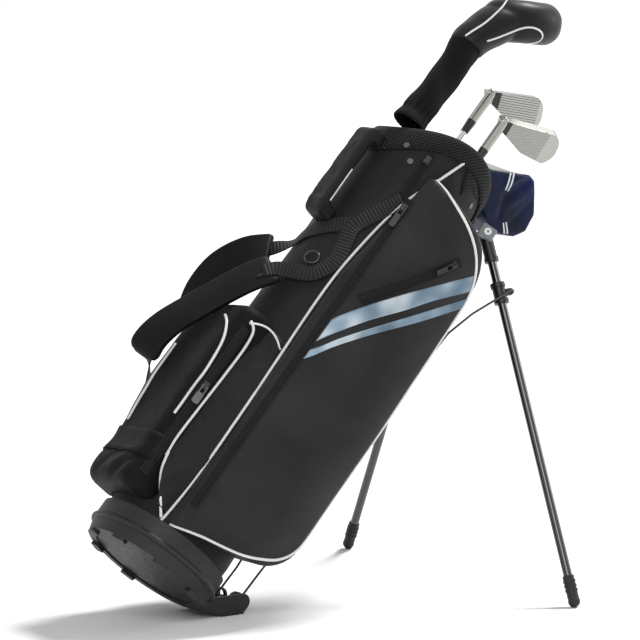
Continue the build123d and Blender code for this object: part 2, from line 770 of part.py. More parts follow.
def valuables_slider():
    """Where the slanted zip's slider sits, the way it runs and the way out of the panel."""
    (x0, h0), (x1, h1) = valuables_run
    share = 0.90
    spot, way = panel_spot(x0 + share * (x1 - x0), h0 + share * (h1 - h0))
    ahead, _ = panel_spot(x0 + (share + 0.02) * (x1 - x0), h0 + (share + 0.02) * (h1 - h0))
    run = ahead - spot
    return spot, (run - way * run.dot(way)).normalized(), way


up = Vector(0, 0, 1)


def ball_corner():
    """A place on the ball pocket's near front corner, and the way out of it."""
    centre = Vector(-ball_out + ball_round, -ball_near + ball_round, 0).rotate(Axis.Z, -ball_turn)
    turn = radians(ball_zip_turn)
    way = Vector(cos(turn), sin(turn), 0)
    return centre + way * (ball_round + pocket_gap), way


def shell_line(turn):
    spot, way = on_shell(turn, 0, pocket_gap)
    return Vector(*spot), Vector(*way)


# each straight zip: its foot at height 0, the way out, its span, its slider, its pull tab
zips = {
    "main": (*panel_spot(main_zip_x, 0), main_zip_span, main_slider_high, (20, 8)),
    "ball": (*ball_corner(), ball_zip_span, ball_slider_high, (16, 10)),
    "upper": (*shell_line(upper_zip_turn), upper_zip_span, upper_slider_high, None),
}


def snaps():
    """Three snap rivets: one on the collar and two under it."""
    rivets = []
    for turn, down, off in ((32, 50, collar_thick), (42, 66, 0), (118, 53, 0)):
        spot, way = on_shell(turn, mouth_height - down, off + seat_gap)
        rivets.append(extrude(Plane(origin=spot, z_dir=way) * Circle(4.0), 1.6))
    return Compound(children=rivets)


# ---------------------------------------------------------------- clubs
floor_high = floor_thick - boot_depth + grip_clear


def at(spot, high):
    return Vector(spot[0], spot[1], high)


def club_grip(spot):
    """The rubber grip: a tapered sleeve, closed and rounded at the butt."""
    end = floor_high + grip_length
    body = cone_between(at(spot, floor_high + 3), at(spot, end), grip_radius, grip_tip)
    body += cone_between(at(spot, floor_high), at(spot, floor_high + 3), grip_radius - 3, grip_radius)
    room = rod_between(at(spot, floor_high + grip_floor - seat_gap), at(spot, end + 1), shaft_butt + running_gap)
    return body - room


def club_shaft(spot, heel):
    """The steel shaft: parallel in the grip, tapered, and parallel again at its tip."""
    low = floor_high + grip_floor
    step = floor_high + grip_length + 15
    tip = heel - tip_length
    body = rod_between(at(spot, low), at(spot, step), shaft_butt)
    body += cone_between(at(spot, step), at(spot, tip), shaft_butt, shaft_tip)
    body += rod_between(at(spot, tip), at(spot, heel - tip_depth), shaft_tip)
    return body


def tip_room(spot, heel):
    """The bore for the shaft's tip, up into the hosel."""
    start = at(spot, heel - hosel_length - 2 * ferrule_length)
    return rod_between(start, at(spot, heel - tip_depth + seat_gap), shaft_tip + running_gap)


def club_hosel(spot, heel):
    """The hosel that the shaft goes into, up to the heel."""
    return rod_between(at(spot, heel - hosel_length), at(spot, heel), hosel_radius)


def club_ferrule(spot, heel):
    """The black collar under the hosel, tapered to the shaft."""
    top = heel - hosel_length - seat_gap
    body = cone_between(at(spot, top - ferrule_length), at(spot, top), shaft_tip + 0.9, hosel_radius)
    return body - tip_room(spot, heel)


def iron_head(spot, heel, loft_angle, lie, turn):
    """A cavity-back iron: hosel, rounded heel and a blade, thick at the sole and thin on top."""
    long, toe = iron_length, iron_toe
    outline = make_face([
        Line((-6, 6), (0.85 * long, 8)),
        ThreePointArc((0.85 * long, 8), (0.96 * long, 0), (long, -0.24 * toe)),
        ThreePointArc((long, -0.24 * toe), (0.98 * long, -0.58 * toe), (0.88 * long, -0.77 * toe)),
        Line((0.88 * long, -0.77 * toe), (0.48 * long, -0.64 * toe)),
        Line((0.48 * long, -0.64 * toe), (-4, -6)),
        Line((-4, -6), (-6, 6)),
    ])
    blade = extrude(outline, -iron_sole)
    slope = degrees(atan2(iron_sole - iron_top, 0.86 * toe))
    back = Pos(0, 8, -iron_sole) * Rot(-slope, 0, 0) * Box(
        4 * long, 4 * toe, 40, align=(Align.CENTER, Align.CENTER, Align.MAX))
    blade -= back
    hollow = Pos(0.62 * long, -0.28 * toe, -iron_top + 0.5) * extrude(
        RectangleRounded(0.50 * long, 0.46 * toe, 7), -2 * iron_sole)
    blade -= hollow
    place = Location(at(spot, heel - 4)) * Rot(0, 0, -turn) * Rot(0, -lie, 0) * Rot(90, 0, 0)
    blade = place * Rot(loft_angle, 0, 0) * Pos(0, 0, hosel_radius * 0.55) * blade
    head = club_hosel(spot, heel) + Pos(*at(spot, heel)) * Sphere(hosel_radius) + blade
    return head - tip_room(spot, heel)


def driver_axes():
    """The middle of the driver head, and the turn that lays its long axis to the toe."""
    centre = at(driver_spot, driver_heel) + Vector(driver_reach, 0, driver_rise)
    return Location(centre) * Rot(0, -driver_lie, 0)


def oval(grow):
    """The driver head's round form, grown on all sides."""
    tall = driver_tall + grow
    block = extrude(Ellipse(driver_long + grow, driver_deep + grow), tall, both=True)
    ends = block.faces().sort_by(Axis.Z)
    return driver_axes() * fillet(ends[0].edges() + ends[-1].edges(), 0.90 * tall)


def driver_head():
    """The driver: a round hollow-looking head on its hosel."""
    neck = rod_between(at(driver_spot, driver_heel - 36), at(driver_spot, driver_heel + 25), hosel_radius)
    return oval(0) + neck - tip_room(driver_spot, driver_heel)


def driver_cover_shell():
    """The padded cap over the driver head, open where the sock joins."""
    wall = oval(cover_wall + cover_clear) - oval(cover_clear)
    mouth = rod_between(at(driver_spot, sock_base), at(driver_spot, driver_heel + 25), hosel_radius + 8)
    return wall - mouth


def driver_cover_sock():
    """The knitted sleeve below the cap, loose around the shaft."""
    stations = ((0, -8, 24.0), (40, -8, 21.0), (110, -5, 21.0), (182, 6, 30.0))
    x, y = driver_spot

    def sleeve(radius_off, grow):
        rings = [
            Plane.XY.offset(sock_base + high + (grow if i in (0, len(stations) - 1) else 0) * (2 * (i > 0) - 1))
            * Pos(x + shift, y) * Circle(radius - radius_off)
            for i, (high, shift, radius) in enumerate(stations)
        ]
        return loft(rings)

    return sleeve(0, 0) - sleeve(sock_wall, 0.01) - oval(cover_wall + cover_clear + pocket_gap)


def putter_place():
    """The putter head's frame: X to the toe, Z to the sole."""
    return Location(at(putter_spot, putter_heel)) * Rot(0, -putter_lie, 0)


def putter_head():
    """A heel-shafted blade putter with a stepped back."""
    low = -4
    block = Pos(putter_long / 2 - 10, 0, low) * Box(
        putter_long, putter_deep * 0.5, putter_tall, align=(Align.CENTER, Align.CENTER, Align.MIN))
    flange = Pos(putter_long / 2 - 10, putter_deep * 0.25, low + putter_tall - 8) * Box(
        putter_long - 16, putter_deep * 0.5, 8, align=(Align.CENTER, Align.CENTER, Align.MIN))
    blade = block + flange
    blade = fillet(blade.edges().filter_by(Axis.Y).group_by(Axis.X)[0], 5)
    head = putter_place() * blade + club_hosel(putter_spot, putter_heel)
    return head - tip_room(putter_spot, putter_heel)


def putter_cover():
    """The putter's cover: a padded boot, open at the heel so that it draws off to the toe."""
    x, z = putter_spot[0], putter_heel
    outline = Polygon(
        (x - 12, z - 20), (x + 40, z - 44), (x + 68, z - 47), (x + 96, z - 30), (x + 107, z - 12),
        (x + 104, z + 14), (x + 72, z + 49), (x + 60, z + 49), (x + 6, z + 12), (x - 14, z + 8), align=None)
    outline = fillet(outline.vertices().sort_by(Axis.X)[2:], 6)
    cover = extrude(Plane.XZ * outline, putter_cover_deep / 2, both=True)
    rims = cover.edges().filter_by(lambda e: abs(abs(e.center().Y) - putter_cover_deep / 2) < 0.01)
    cover = fillet(rims, 4.5)
    deep = putter_deep + 2 * cover_clear
    tall = putter_tall + 2 * cover_clear
    room = Pos(putter_long - 10 + cover_clear, 0, -4 - cover_clear) * Box(
        putter_long + 60, deep, tall, align=(Align.MAX, Align.CENTER, Align.MIN))
    throat = Pos(hosel_radius + cover_clear, 0, -50) * Box(
        100, 2 * (hosel_radius + cover_clear), 100, align=(Align.MAX, Align.CENTER, Align.MIN))
    return cover - putter_place() * (room + throat)


# ---------------------------------------------------------------- build
def main():
    os.makedirs("parts", exist_ok=True)
    save_bag("bag_shell", bag_shell())
    save_bag("top_cuff", top_cuff())
    save_bag("collar_pad", collar_pad())
    save_bag("club_divider", club_divider())
    save_bag("stay_rods", stay_rods())
    save_bag("base_boot", base_boot())
    save("foot_plate", foot_plate())
    save_bag("foot_pin", foot_pin())
    for name, leg in legs.items():
        save(f"leg_tube_{name}", leg_tube(leg))
        save(f"leg_socket_{name}", leg_socket(leg))
        save(f"leg_clip_{name}", leg_clip(leg))
        save(f"leg_foot_{name}", leg_foot(leg))
        save(f"rod_{name}", leg_rod(leg))
    save("leg_bracket", leg_bracket())
    save("bracket_caps", bracket_caps())
    save("pivot_rivets", pivot_rivets())
    save_bag("apparel_pocket", side_pocket(
        -1, pocket_outline, pocket_edge, pocket_panel, pocket_crown, pocket_round))
    save_bag("far_pocket", side_pocket(1, far_outline, far_edge, far_panel, far_crown, far_round))
    save_bag("ball_pocket", ball_pocket())
    save_bag("carry_handle", carry_handle())
    save_bag("strap_pad_near", strap_pad_near())
    save_bag("strap_pad_far", strap_pad_far())
    save_bag("strap_webbing_near", strap_webbing_near())
    save_bag("strap_webbing_far", strap_webbing_far())
    save_bag("snaps", snaps())
    save_bag("valuables_zip", valuables_zip())
    for name, (foot, way, span, slider, tab) in zips.items():
        start, end = foot + up * span[0], foot + up * span[1]
        save_bag(f"{name}_zip", zip_strip(start, end, way))
        spot = foot + up * slider
        save_bag(f"{name}_zip_slider", zip_slider(spot, up, way))
        if tab:
            save_bag(f"{name}_zip_pull", zip_pull(spot, up, way, *tab))
    spot, run, way = valuables_slider()
    save_bag("valuables_zip_slider", zip_slider(spot, run, way))
    save_bag("valuables_zip_pull", zip_pull(spot, run, way, 18, 7))
    irons = {                            # place, heel, loft, lie and turn to the near side
        "iron_1": (iron_1_spot, iron_1_heel, 18, 33, 5),
        "iron_2": (iron_2_spot, iron_2_heel, 44, 25, 14),
    }
    for name, (spot, heel, *angles) in irons.items():
        save_bag(f"{name}_head", iron_head(spot, heel, *angles))
        save_bag(f"{name}_ferrule", club_ferrule(spot, heel))
        save_bag(f"{name}_shaft", club_shaft(spot, heel))
        save_bag(f"{name}_grip", club_grip(spot))
    save_bag("driver_head", driver_head())
    save_bag("driver_shaft", club_shaft(driver_spot, driver_heel))
    save_bag("driver_grip", club_grip(driver_spot))
    save_bag("driver_cover_shell", driver_cover_shell())
    save_bag("driver_cover_sock", driver_cover_sock())
    save_bag("putter_head", putter_head())
    save_bag("putter_shaft", club_shaft(putter_spot, putter_heel))
    save_bag("putter_grip", club_grip(putter_spot))
    save_bag("putter_cover", putter_cover())


main()
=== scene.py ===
import json
from math import atan2, cos, pi, radians, sin, sqrt

import bmesh
import bpy
import numpy as np
from mathutils import Matrix, Vector


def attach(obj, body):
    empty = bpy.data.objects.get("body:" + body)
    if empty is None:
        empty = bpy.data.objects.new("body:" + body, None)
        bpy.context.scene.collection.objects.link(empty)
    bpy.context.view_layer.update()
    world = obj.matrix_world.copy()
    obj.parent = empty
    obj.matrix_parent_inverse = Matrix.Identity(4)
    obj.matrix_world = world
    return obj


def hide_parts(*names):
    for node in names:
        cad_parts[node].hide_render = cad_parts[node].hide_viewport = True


# Looks of a junior golf stand bag with a covered driver, two irons and a covered putter.
# Lengths in the lists below are millimetres in the upright bag's own frame: x to the leg
# side, y to the far side, h up the axis from the middle of the boot's ridge.

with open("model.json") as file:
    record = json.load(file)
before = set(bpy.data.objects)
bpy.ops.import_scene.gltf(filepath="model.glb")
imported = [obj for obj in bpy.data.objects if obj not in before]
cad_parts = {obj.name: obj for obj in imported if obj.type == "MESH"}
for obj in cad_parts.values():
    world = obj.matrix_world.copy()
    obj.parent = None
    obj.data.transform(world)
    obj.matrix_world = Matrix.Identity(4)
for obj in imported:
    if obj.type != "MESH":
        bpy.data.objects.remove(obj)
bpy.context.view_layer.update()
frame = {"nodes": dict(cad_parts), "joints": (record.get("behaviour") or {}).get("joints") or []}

# ---------------------------------------------------------------- the bag's frame
FLAP_HINGE_OUT = 0.082   # the flap's hinge from the bag's axis, in metres
FLAP_HINGE_DROP = 0.010  # and under the boot's ridge
joint = {j["name"]: j for j in frame["joints"]}
along = Vector(joint["iron_1_lift"]["axis"]).normalized()
across = Vector((along.z, 0, -along.x))
aside = Vector((0, 1, 0))
flap_hinge = Vector(joint["foot_flap_turn"]["pos_m"])
ridge = flap_hinge - across * FLAP_HINGE_OUT + along * FLAP_HINGE_DROP
lean = atan2(along.x, along.z)
AXES = np.array([across, aside, along])


def to_world(points):
    """Bag millimetres to metres in the shared frame."""
    return np.asarray(points, float) @ AXES / 1000 + np.array(ridge)


def to_bag(points):
    """Metres in the shared frame to bag millimetres."""
    return (np.asarray(points, float) - np.array(ridge)) @ AXES.T * 1000


# ---------------------------------------------------------------- sizes shared by pieces
SHELL = 85.0
FABRIC = 85.6                 # outside of the fabric tube
RIM_ARC = 134.8               # the rim's saddle, seen from the side
RIM_MIDDLE = 537.2
PANEL_MIDDLE = (46.1, 13.7)   # centre of the big pocket's bow
PANEL_BOW = 136.5
NEAR_SIDE = np.array([0.502, 0.810, 0.303])  # the way in from the near side, from under
NEAR_REACH = 0.06             # how far off a skin that way starts, in metres
DRIVER = (-62.0, -12.0)       # the driver's shaft, across and aside
SOCK_BASE = 661.0
IRON_1 = ((41, 44), 809, 18, 33, 5)  # shaft, heel's height, and the head's loft, lie and turn
IRON_2 = ((27, -45), 752, 44, 25, 14)
FLOOR_SEEN = 1.34             # how light the floor shows to the eye, so that it comes out white


def rim(x, drop):
    """Height of the mouth's saddle at a place across the bag, that far under its edge."""
    return RIM_MIDDLE + np.sqrt(np.maximum((RIM_ARC - drop) ** 2 - np.square(x), 0))


def round_tube(turn, radius, h):
    """A place round the tube: degrees from the spine towards the near side."""
    return (-radius * cos(radians(turn)), -radius * sin(radians(turn)), h)


def on_panel(x, h):
    """A place on the big pocket's bowed panel."""
    return (x, PANEL_MIDDLE[1] - sqrt(PANEL_BOW**2 - (x - PANEL_MIDDLE[0]) ** 2), h)


# ---------------------------------------------------------------- building
def piece(name, mesh, finish, body="bag"):
    """Puts a mesh in the scene as a smooth piece that rides a body."""
    obj = bpy.data.objects.new(name, mesh)
    bpy.context.scene.collection.objects.link(obj)
    mesh.materials.clear()
    mesh.materials.append(finish)
    mesh.polygons.foreach_set("use_smooth", [True] * len(mesh.polygons))
    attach(obj, body)
    return obj


def settle(obj):
    """Applies what shapes the piece, so that its own mesh has the final form."""
    bpy.context.view_layer.update()
    seen = obj.evaluated_get(bpy.context.evaluated_depsgraph_get())
    mesh = bpy.data.meshes.new_from_object(seen)
    obj.modifiers.clear()
    obj.data = mesh
    mesh.polygons.foreach_set("use_smooth", [True] * len(mesh.polygons))
    return obj


def thicken(obj, thick, offset):
    """Gives a skin its thickness in millimetres: outwards 1, both ways 0, inwards -1."""
    skin = obj.modifiers.new("thickness", "SOLIDIFY")
    skin.thickness = thick / 1000
    skin.offset = offset
    return settle(obj)


def spline(points, step=4.0):
    """A smooth line through points, in even steps of about that length."""
    p = np.asarray(points, float)
    p = np.vstack([2 * p[0] - p[1], p, 2 * p[-1] - p[-2]])
    line = []
    for a, b, c, d in zip(p, p[1:], p[2:], p[3:]):
        count = max(int(np.linalg.norm(c[:3] - b[:3]) / step), 1)
        for t in np.arange(count) / count:
            line.append(0.5 * (2 * b + (c - a) * t + (2 * a - 5 * b + 4 * c - d) * t**2
                               + (3 * b - a - 3 * c + d) * t**3))
    line.append(p[-2])
    return np.array(line)


def evenly(line, count):
    """A line's places taken again, as many as wanted."""
    now, wanted = np.linspace(0, 1, len(line)), np.linspace(0, 1, count)
    return np.array([np.interp(wanted, now, line[:, k]) for k in range(3)]).T


def grid_mesh(name, rows, round_way=False, close_ends=False):
    """A skin of quads over rows of places, with a flat map of it in metres."""
    rows = np.asarray(rows, float)
    count, across_count = rows.shape[:2]
    mesh = bpy.data.meshes.new(name)
    around = across_count if round_way else across_count - 1
    faces = []
    for i in range(count - 1):
        for j in range(around):
            k = (j + 1) % across_count
            faces.append((i * across_count + j, i * across_count + k,
                          (i + 1) * across_count + k, (i + 1) * across_count + j))
    if close_ends:
        faces.append(tuple(reversed(range(across_count))))
        faces.append(tuple(range((count - 1) * across_count, count * across_count)))
    mesh.from_pydata(to_world(rows.reshape(-1, 3)).tolist(), [], faces)
    length = np.linalg.norm(np.diff(rows, axis=0), axis=2).mean(axis=1)
    length = np.concatenate([[0], np.cumsum(length)]) / 1000
    width = np.linalg.norm(np.diff(rows, axis=1), axis=2).mean(axis=0)
    width = np.concatenate([[0], np.cumsum(width)]) / 1000
    flat = mesh.uv_layers.new(name="flat")
    for face in mesh.polygons:
        for loop in face.loop_indices:
            v = mesh.loops[loop].vertex_index
            flat.data[loop].uv = (width[v % across_count], length[v // across_count])
    mesh.update()
    return mesh


def flat_section(width, thick, corner, count=3):
    """A strap's cut end: a flat bar with round edges, its back on the line."""
    corner = min(corner, thick / 2 - 0.01, width / 2 - 0.01)
    ring = []
    for cx, cy, start in ((1, 1, 0), (-1, 1, 90), (-1, -1, 180), (1, -1, 270)):
        for i in range(count + 1):
            turn = radians(start + 90 * i / count)
            ring.append((cx * (width / 2 - corner) + corner * cos(turn),
                         thick / 2 + cy * (thick / 2 - corner) + corner * sin(turn)))
    return ring


def round_section(radius, count=10):
    """A cord's cut end."""
    turns = [2 * pi * i / count for i in range(count)]
    return [(radius * cos(turn), radius * sin(turn)) for turn in turns]


def run_section(name, line, outs, section, finish, body="bag", shape=None):
    """Runs a section along a line; outs are the ways its face looks. shape(share) scales it."""
    line = np.asarray(line, float)
    outs = np.asarray(outs, float)
    heads = np.gradient(line, axis=0)
    heads /= np.linalg.norm(heads, axis=1)[:, None]
    outs = outs - heads * np.sum(outs * heads, axis=1)[:, None]
    outs /= np.linalg.norm(outs, axis=1)[:, None]
    sides = np.cross(outs, heads)
    section = np.array(section)
    rows = []
    for i in range(len(line)):
        wide, high = shape(i / (len(line) - 1)) if shape else (1, 1)
        rows.append(line[i] + np.outer(section[:, 0] * wide, sides[i])
                    + np.outer(section[:, 1] * high, outs[i]))
    return piece(name, grid_mesh(name, rows, True, True), finish, body)


def strap(name, places, width, thick, finish, off_shell=0.0, corner=0.9, shape=None):
    """A strap through places, each with the way its face looks; it keeps off the shell."""
    line = spline([(*spot, *out) for spot, out in places])
    spots, outs = line[:, :3].copy(), line[:, 3:]
    if off_shell:
        radius = np.hypot(spots[:, 0], spots[:, 1])
        push = np.maximum(off_shell / np.maximum(radius, 1), 1)
        spots[:, :2] *= push[:, None]
    section = flat_section(width, thick, corner)
    return run_section(name, spots, outs, section, finish, shape=shape)


def laid(line, onto, lift):
    """Lays a line of places on a piece's skin; gives the places and the ways out of the skin."""
    spots, outs = [], []
    back = onto.matrix_world.inverted()
    for spot in to_world(line):
        _, near, out, _ = onto.closest_point_on_mesh(back @ Vector(spot))
        spots.append(onto.matrix_world @ near)
        outs.append(onto.matrix_world.to_3x3() @ out)
    outs = np.array(outs) @ AXES.T
    for _ in range(2):
        outs[1:-1] = (outs[:-2] + outs[1:-1] + outs[2:]) / 3
    outs /= np.linalg.norm(outs, axis=1)[:, None]
    return to_bag(spots) + outs * lift, outs


def laid_over(line, skins, lift):
    """Lays a line of places from the near side on the first of several skins that it meets."""
    way = Vector(NEAR_SIDE @ AXES)
    spots, outs = [], []
    for spot in to_world(line):
        start = Vector(spot) - way * NEAR_REACH
        met = [skin.ray_cast(start, way, distance=2 * NEAR_REACH) for skin in skins]
        met = min((m for m in met if m[0]), key=lambda m: (m[1] - start).length, default=None)
        spots.append(met[1] if met else Vector(spot))
        outs.append(met[2] if met and met[2].dot(way) < 0 else -way)
    outs = np.array(outs) @ AXES.T
    for _ in range(3):
        outs[1:-1] = (outs[:-2] + outs[1:-1] + outs[2:]) / 3
    outs /= np.linalg.norm(outs, axis=1)[:, None]
    return to_bag(spots) + outs * lift, outs


def piping(name, points, onto, radius=1.9, body="bag", lift=0.6):
    """A round white piping sewn along a line on a piece's skin, or over several skins."""
    line = spline(points, 5.0)
    line, outs = laid_over(line, onto, lift) if isinstance(onto, list) else laid(line, onto, lift)
    smooth = line.copy()
    for _ in range(3):
        smooth[1:-1] = (smooth[:-2] + 2 * smooth[1:-1] + smooth[2:]) / 4
    return run_section(name, smooth, outs, round_section(radius), piping_white, body)


def patch(name, low_edge, high_edge, onto, lift, thick, finish, slot, body="bag", across_count=6):
    """A sewn or printed patch between two lines, laid on a piece's skin."""
    low, high = spline(low_edge), spline(high_edge)
    count = max(len(low), len(high))
    low, high = evenly(low, count), evenly(high, count)
    rows = [laid(low + (high - low) * share, onto, lift)[0] for share in np.linspace(0, 1, across_count)]
    mesh = grid_mesh(name, np.array(rows).transpose(1, 0, 2))
    return thicken(piece(name, mesh, finish, body), thick, 0)


def ripple(q, length, seed):
    """Soft unevenness: crossed waves of about that length, the same in every run."""
    total = np.zeros(len(q))
    for i in range(6):
        turn, tilt = seed * 1.7 + i * 2.399, sin(seed * 2.3 + i * 1.1)
        way = np.array([cos(turn) * cos(tilt), sin(turn) * cos(tilt), sin(tilt)])
        total += np.sin(q @ way * (2 * pi / length) * (0.7 + 0.13 * i) + seed + i * i)
    return total / 6


def crease(q, start, end, width, deep):
    """A fold along a line between two places, dying out at its ends."""
    start, end = np.array(start, float), np.array(end, float)
    run = end - start
    share = np.clip((q - start) @ run / (run @ run), 0, 1)
    off = np.linalg.norm(q - (start + share[:, None] * run), axis=1)
    return deep * np.exp(-((off / width) ** 2)) * np.sqrt(np.sin(pi * (0.06 + 0.88 * share)))


def soft_form(node, name, finish, voxel, ease, form=None, body="bag", joined=None):
    """A sewn form grown from its solid, and from what is joined to it: skinned fine, eased
    round, and pushed by form(q, out)."""
    mesh = frame["nodes"][node].data.copy()
    if joined:
        both = bmesh.new()
        both.from_mesh(mesh)
        both.from_mesh(joined)
        both.to_mesh(mesh)
        both.free()
    obj = piece(name, mesh, finish, body)
    skin = obj.modifiers.new("skin", "REMESH")
    skin.mode = "VOXEL"
    skin.voxel_size = voxel / 1000
    soften = obj.modifiers.new("ease", "SMOOTH")
    soften.iterations = ease
    soften.factor = 0.5
    settle(obj)
    if form:
        count = len(obj.data.vertices)
        spots, outs = np.zeros(count * 3), np.zeros(count * 3)
        obj.data.vertices.foreach_get("co", spots)
        obj.data.vertices.foreach_get("normal", outs)
        q, out = to_bag(spots.reshape(-1, 3)), outs.reshape(-1, 3) @ AXES.T
        moved = q + out * form(q, out)[:, None]
        obj.data.vertices.foreach_set("co", to_world(moved).ravel())
        obj.data.update()
    obj.data.materials.clear()
    obj.data.materials.append(finish)
    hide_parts(node)
    return obj


# ---------------------------------------------------------------- finishes
def colour(code):
    """An sRGB hex colour as linear light."""
    parts = [int(code[i:i + 2], 16) / 255 for i in (1, 3, 5)]
    return (*[c / 12.92 if c <= 0.04045 else ((c + 0.055) / 1.055) ** 2.4 for c in parts], 1)


def add(tree, kind, inputs=(), **settings):
    """Adds a node with its settings, and sets or links its inputs."""
    made = tree.nodes.new(kind)
    for key, value in settings.items():
        setattr(made, key, value)
    for key, value in dict(inputs).items():
        if isinstance(value, bpy.types.NodeSocket):
            tree.links.new(value, made.inputs[key])
        else:
            made.inputs[key].default_value = value
    return made


def new_finish(name, base, roughness, metallic=0.0, **sockets):
    """A material with its shader; sockets are the shader's own inputs, by name."""
    made = bpy.data.materials.new(name)
    made.use_nodes = True
    tree = made.node_tree
    tree.nodes.clear()
    shader = add(tree, "ShaderNodeBsdfPrincipled", {
        "Base Color": colour(base), "Roughness": roughness, "Metallic": metallic,
        **{key.replace("_", " "): value for key, value in sockets.items()}})
    add(tree, "ShaderNodeOutputMaterial", {"Surface": shader.outputs[0]})
    return made, tree, shader


def bag_place(tree):
    """Places in metres, turned so that Z runs up the bag."""
    spot = add(tree, "ShaderNodeTexCoord")
    turned = add(tree, "ShaderNodeMapping", {"Vector": spot.outputs["Object"], "Rotation": (0, -lean, 0)})
    return turned.outputs[0]


def waves(tree, where, way, pitch_mm, **settings):
    """Even ribs across one direction, that far apart."""
    return add(tree, "ShaderNodeTexWave", {"Vector": where, "Scale": pi / (10 * pitch_mm / 1000)},
               wave_type="BANDS", bands_direction=way, wave_profile="SIN", **settings).outputs["Fac"]


def reckon(tree, operation, first, second=0.0):
    """Works out one value from one or two others."""
    return add(tree, "ShaderNodeMath", {0: first, 1: second}, operation=operation).outputs[0]


def not_lighting(tree):
    """1 where the eye, a reflection or a clear piece looks, and 0 for light on the object."""
    rays = add(tree, "ShaderNodeLightPath").outputs
    seen = reckon(tree, "MAXIMUM", rays["Is Camera Ray"], rays["Is Glossy Ray"])
    return reckon(tree, "MAXIMUM", seen, rays["Is Transmission Ray"])


def tint(tree, shader, mask, low, high):
    """The base colour, between two colours by a mask."""
    mix = add(tree, "ShaderNodeMix", {0: mask, 6: colour(low), 7: colour(high)}, data_type="RGBA")
    tree.links.new(mix.outputs[2], shader.inputs["Base Color"])
    return mix


def relief(tree, shader, height, strength, depth_mm):
    """Raises the surface by a height, on top of what raises it already."""
    bump = add(tree, "ShaderNodeBump", {
        "Height": height, "Strength": strength, "Distance": depth_mm / 1000})
    old = shader.inputs["Normal"]
    if old.is_linked:
        tree.links.new(old.links[0].from_socket, bump.inputs["Normal"])
    tree.links.new(bump.outputs[0], old)


def uneven(tree, where, size_mm, detail=2.0, rough=0.5):
    """Soft noise with patches of about that size."""
    return add(tree, "ShaderNodeTexNoise", {
        "Vector": where, "Scale": 1000 / size_mm, "Detail": detail, "Roughness": rough}).outputs["Fac"]


def spread(tree, value, low, high, to_low=0.0, to_high=1.0):
    """A value taken from one range to another."""
    return add(tree, "ShaderNodeMapRange", {
        0: value, 1: low, 2: high, 3: to_low, 4: to_high}).outputs[0]


def woven_polyester(name, low, high, roughness, thread_mm=1.3, sheen=0.05, gloss=0.16):
    """Woven polyester: a plain weave that takes the light softly, with a slight nap.
    Real threads are about 0.5 mm; they are drawn coarser so that they show."""
    made, tree, shader = new_finish(name, low, roughness, Sheen_Weight=sheen, Sheen_Roughness=0.45,
                                    Specular_IOR_Level=gloss)
    where = bag_place(tree)
    tint(tree, shader, spread(tree, uneven(tree, where, 90), 0.35, 0.68), low, high)
    threads = reckon(tree, "ADD", waves(tree, where, "Z", thread_mm), waves(tree, where, "X", thread_mm))
    threads = reckon(tree, "ADD", threads, waves(tree, where, "Y", thread_mm))
    relief(tree, shader, threads, 0.30, 0.25)
    relief(tree, shader, uneven(tree, where, 26, 3), 0.35, 1.1)
    fibres = spread(tree, uneven(tree, where, 3, 3), 0.3, 0.7, roughness - 0.06, roughness + 0.06)
    tree.links.new(fibres, shader.inputs["Roughness"])
    return made


def air_mesh(name):
    """Spacer mesh over foam: rows of slanted open cells, painted near black inside as painted shade,
    between yarns painted grey as painted highlight.
    """
    made, tree, shader = new_finish(name, "#161617", 0.75, Sheen_Weight=0.05, Sheen_Roughness=0.5,
                                    Specular_IOR_Level=0.15)
    where = bag_place(tree)
    slant = add(tree, "ShaderNodeMapping", {"Vector": where, "Rotation": (0.5, 0.75, 0.4)})
    yarns_and_painted_light = reckon(tree, "MULTIPLY", waves(tree, slant.outputs[0], "X", 3.0),
                   waves(tree, slant.outputs[0], "Z", 3.6))
    # painted light: open cells painted near black as shade, yarn tops a lighter grey as highlight
    tint(tree, shader, spread(tree, yarns_and_painted_light, 0.30, 0.85), "#0a0a0b", "#3c3c3d")
    relief(tree, shader, yarns_and_painted_light, 0.8, 1.0)
    return made


def ribbed_webbing(name, low, high, rib_mm, roughness=0.62):
    """Polypropylene webbing: raised ribs across the strap, each painted lighter on top as painted highlight
    and darker between as painted shade.
    """
    made, tree, shader = new_finish(name, low, roughness, Sheen_Weight=0.03, Specular_IOR_Level=0.18)
    flat = add(tree, "ShaderNodeTexCoord").outputs["UV"]
    ribs_and_painted_shade = waves(tree, flat, "Y", rib_mm)
    # painted highlight and shade: rib tops painted lighter, the gaps between them darker
    tint(tree, shader, spread(tree, ribs_and_painted_shade, 0.1, 0.9), low, high)
    relief(tree, shader, ribs_and_painted_shade, 0.8, 0.9)
    relief(tree, shader, waves(tree, flat, "X", 1.6), 0.3, 0.25)
    return made


def soft_skin(name, low, high, roughness, grain_mm=1.8, grain=0.25, **sockets):
    """Coated cloth or synthetic leather: a fine pebble grain and long soft highlights."""
    made, tree, shader = new_finish(name, low, roughness, **sockets)
    where = bag_place(tree)
    tint(tree, shader, spread(tree, uneven(tree, where, 60), 0.35, 0.7), low, high)
    cells = add(tree, "ShaderNodeTexVoronoi", {"Vector": where, "Scale": 1000 / grain_mm},
                feature="SMOOTH_F1")
    relief(tree, shader, cells.outputs["Distance"], grain, 0.25)
    relief(tree, shader, uneven(tree, where, 30, 2), 0.25, 1.0)
    wear = spread(tree, uneven(tree, where, 14, 3), 0.3, 0.7, roughness - 0.05, roughness + 0.07)
    tree.links.new(wear, shader.inputs["Roughness"])
    return made


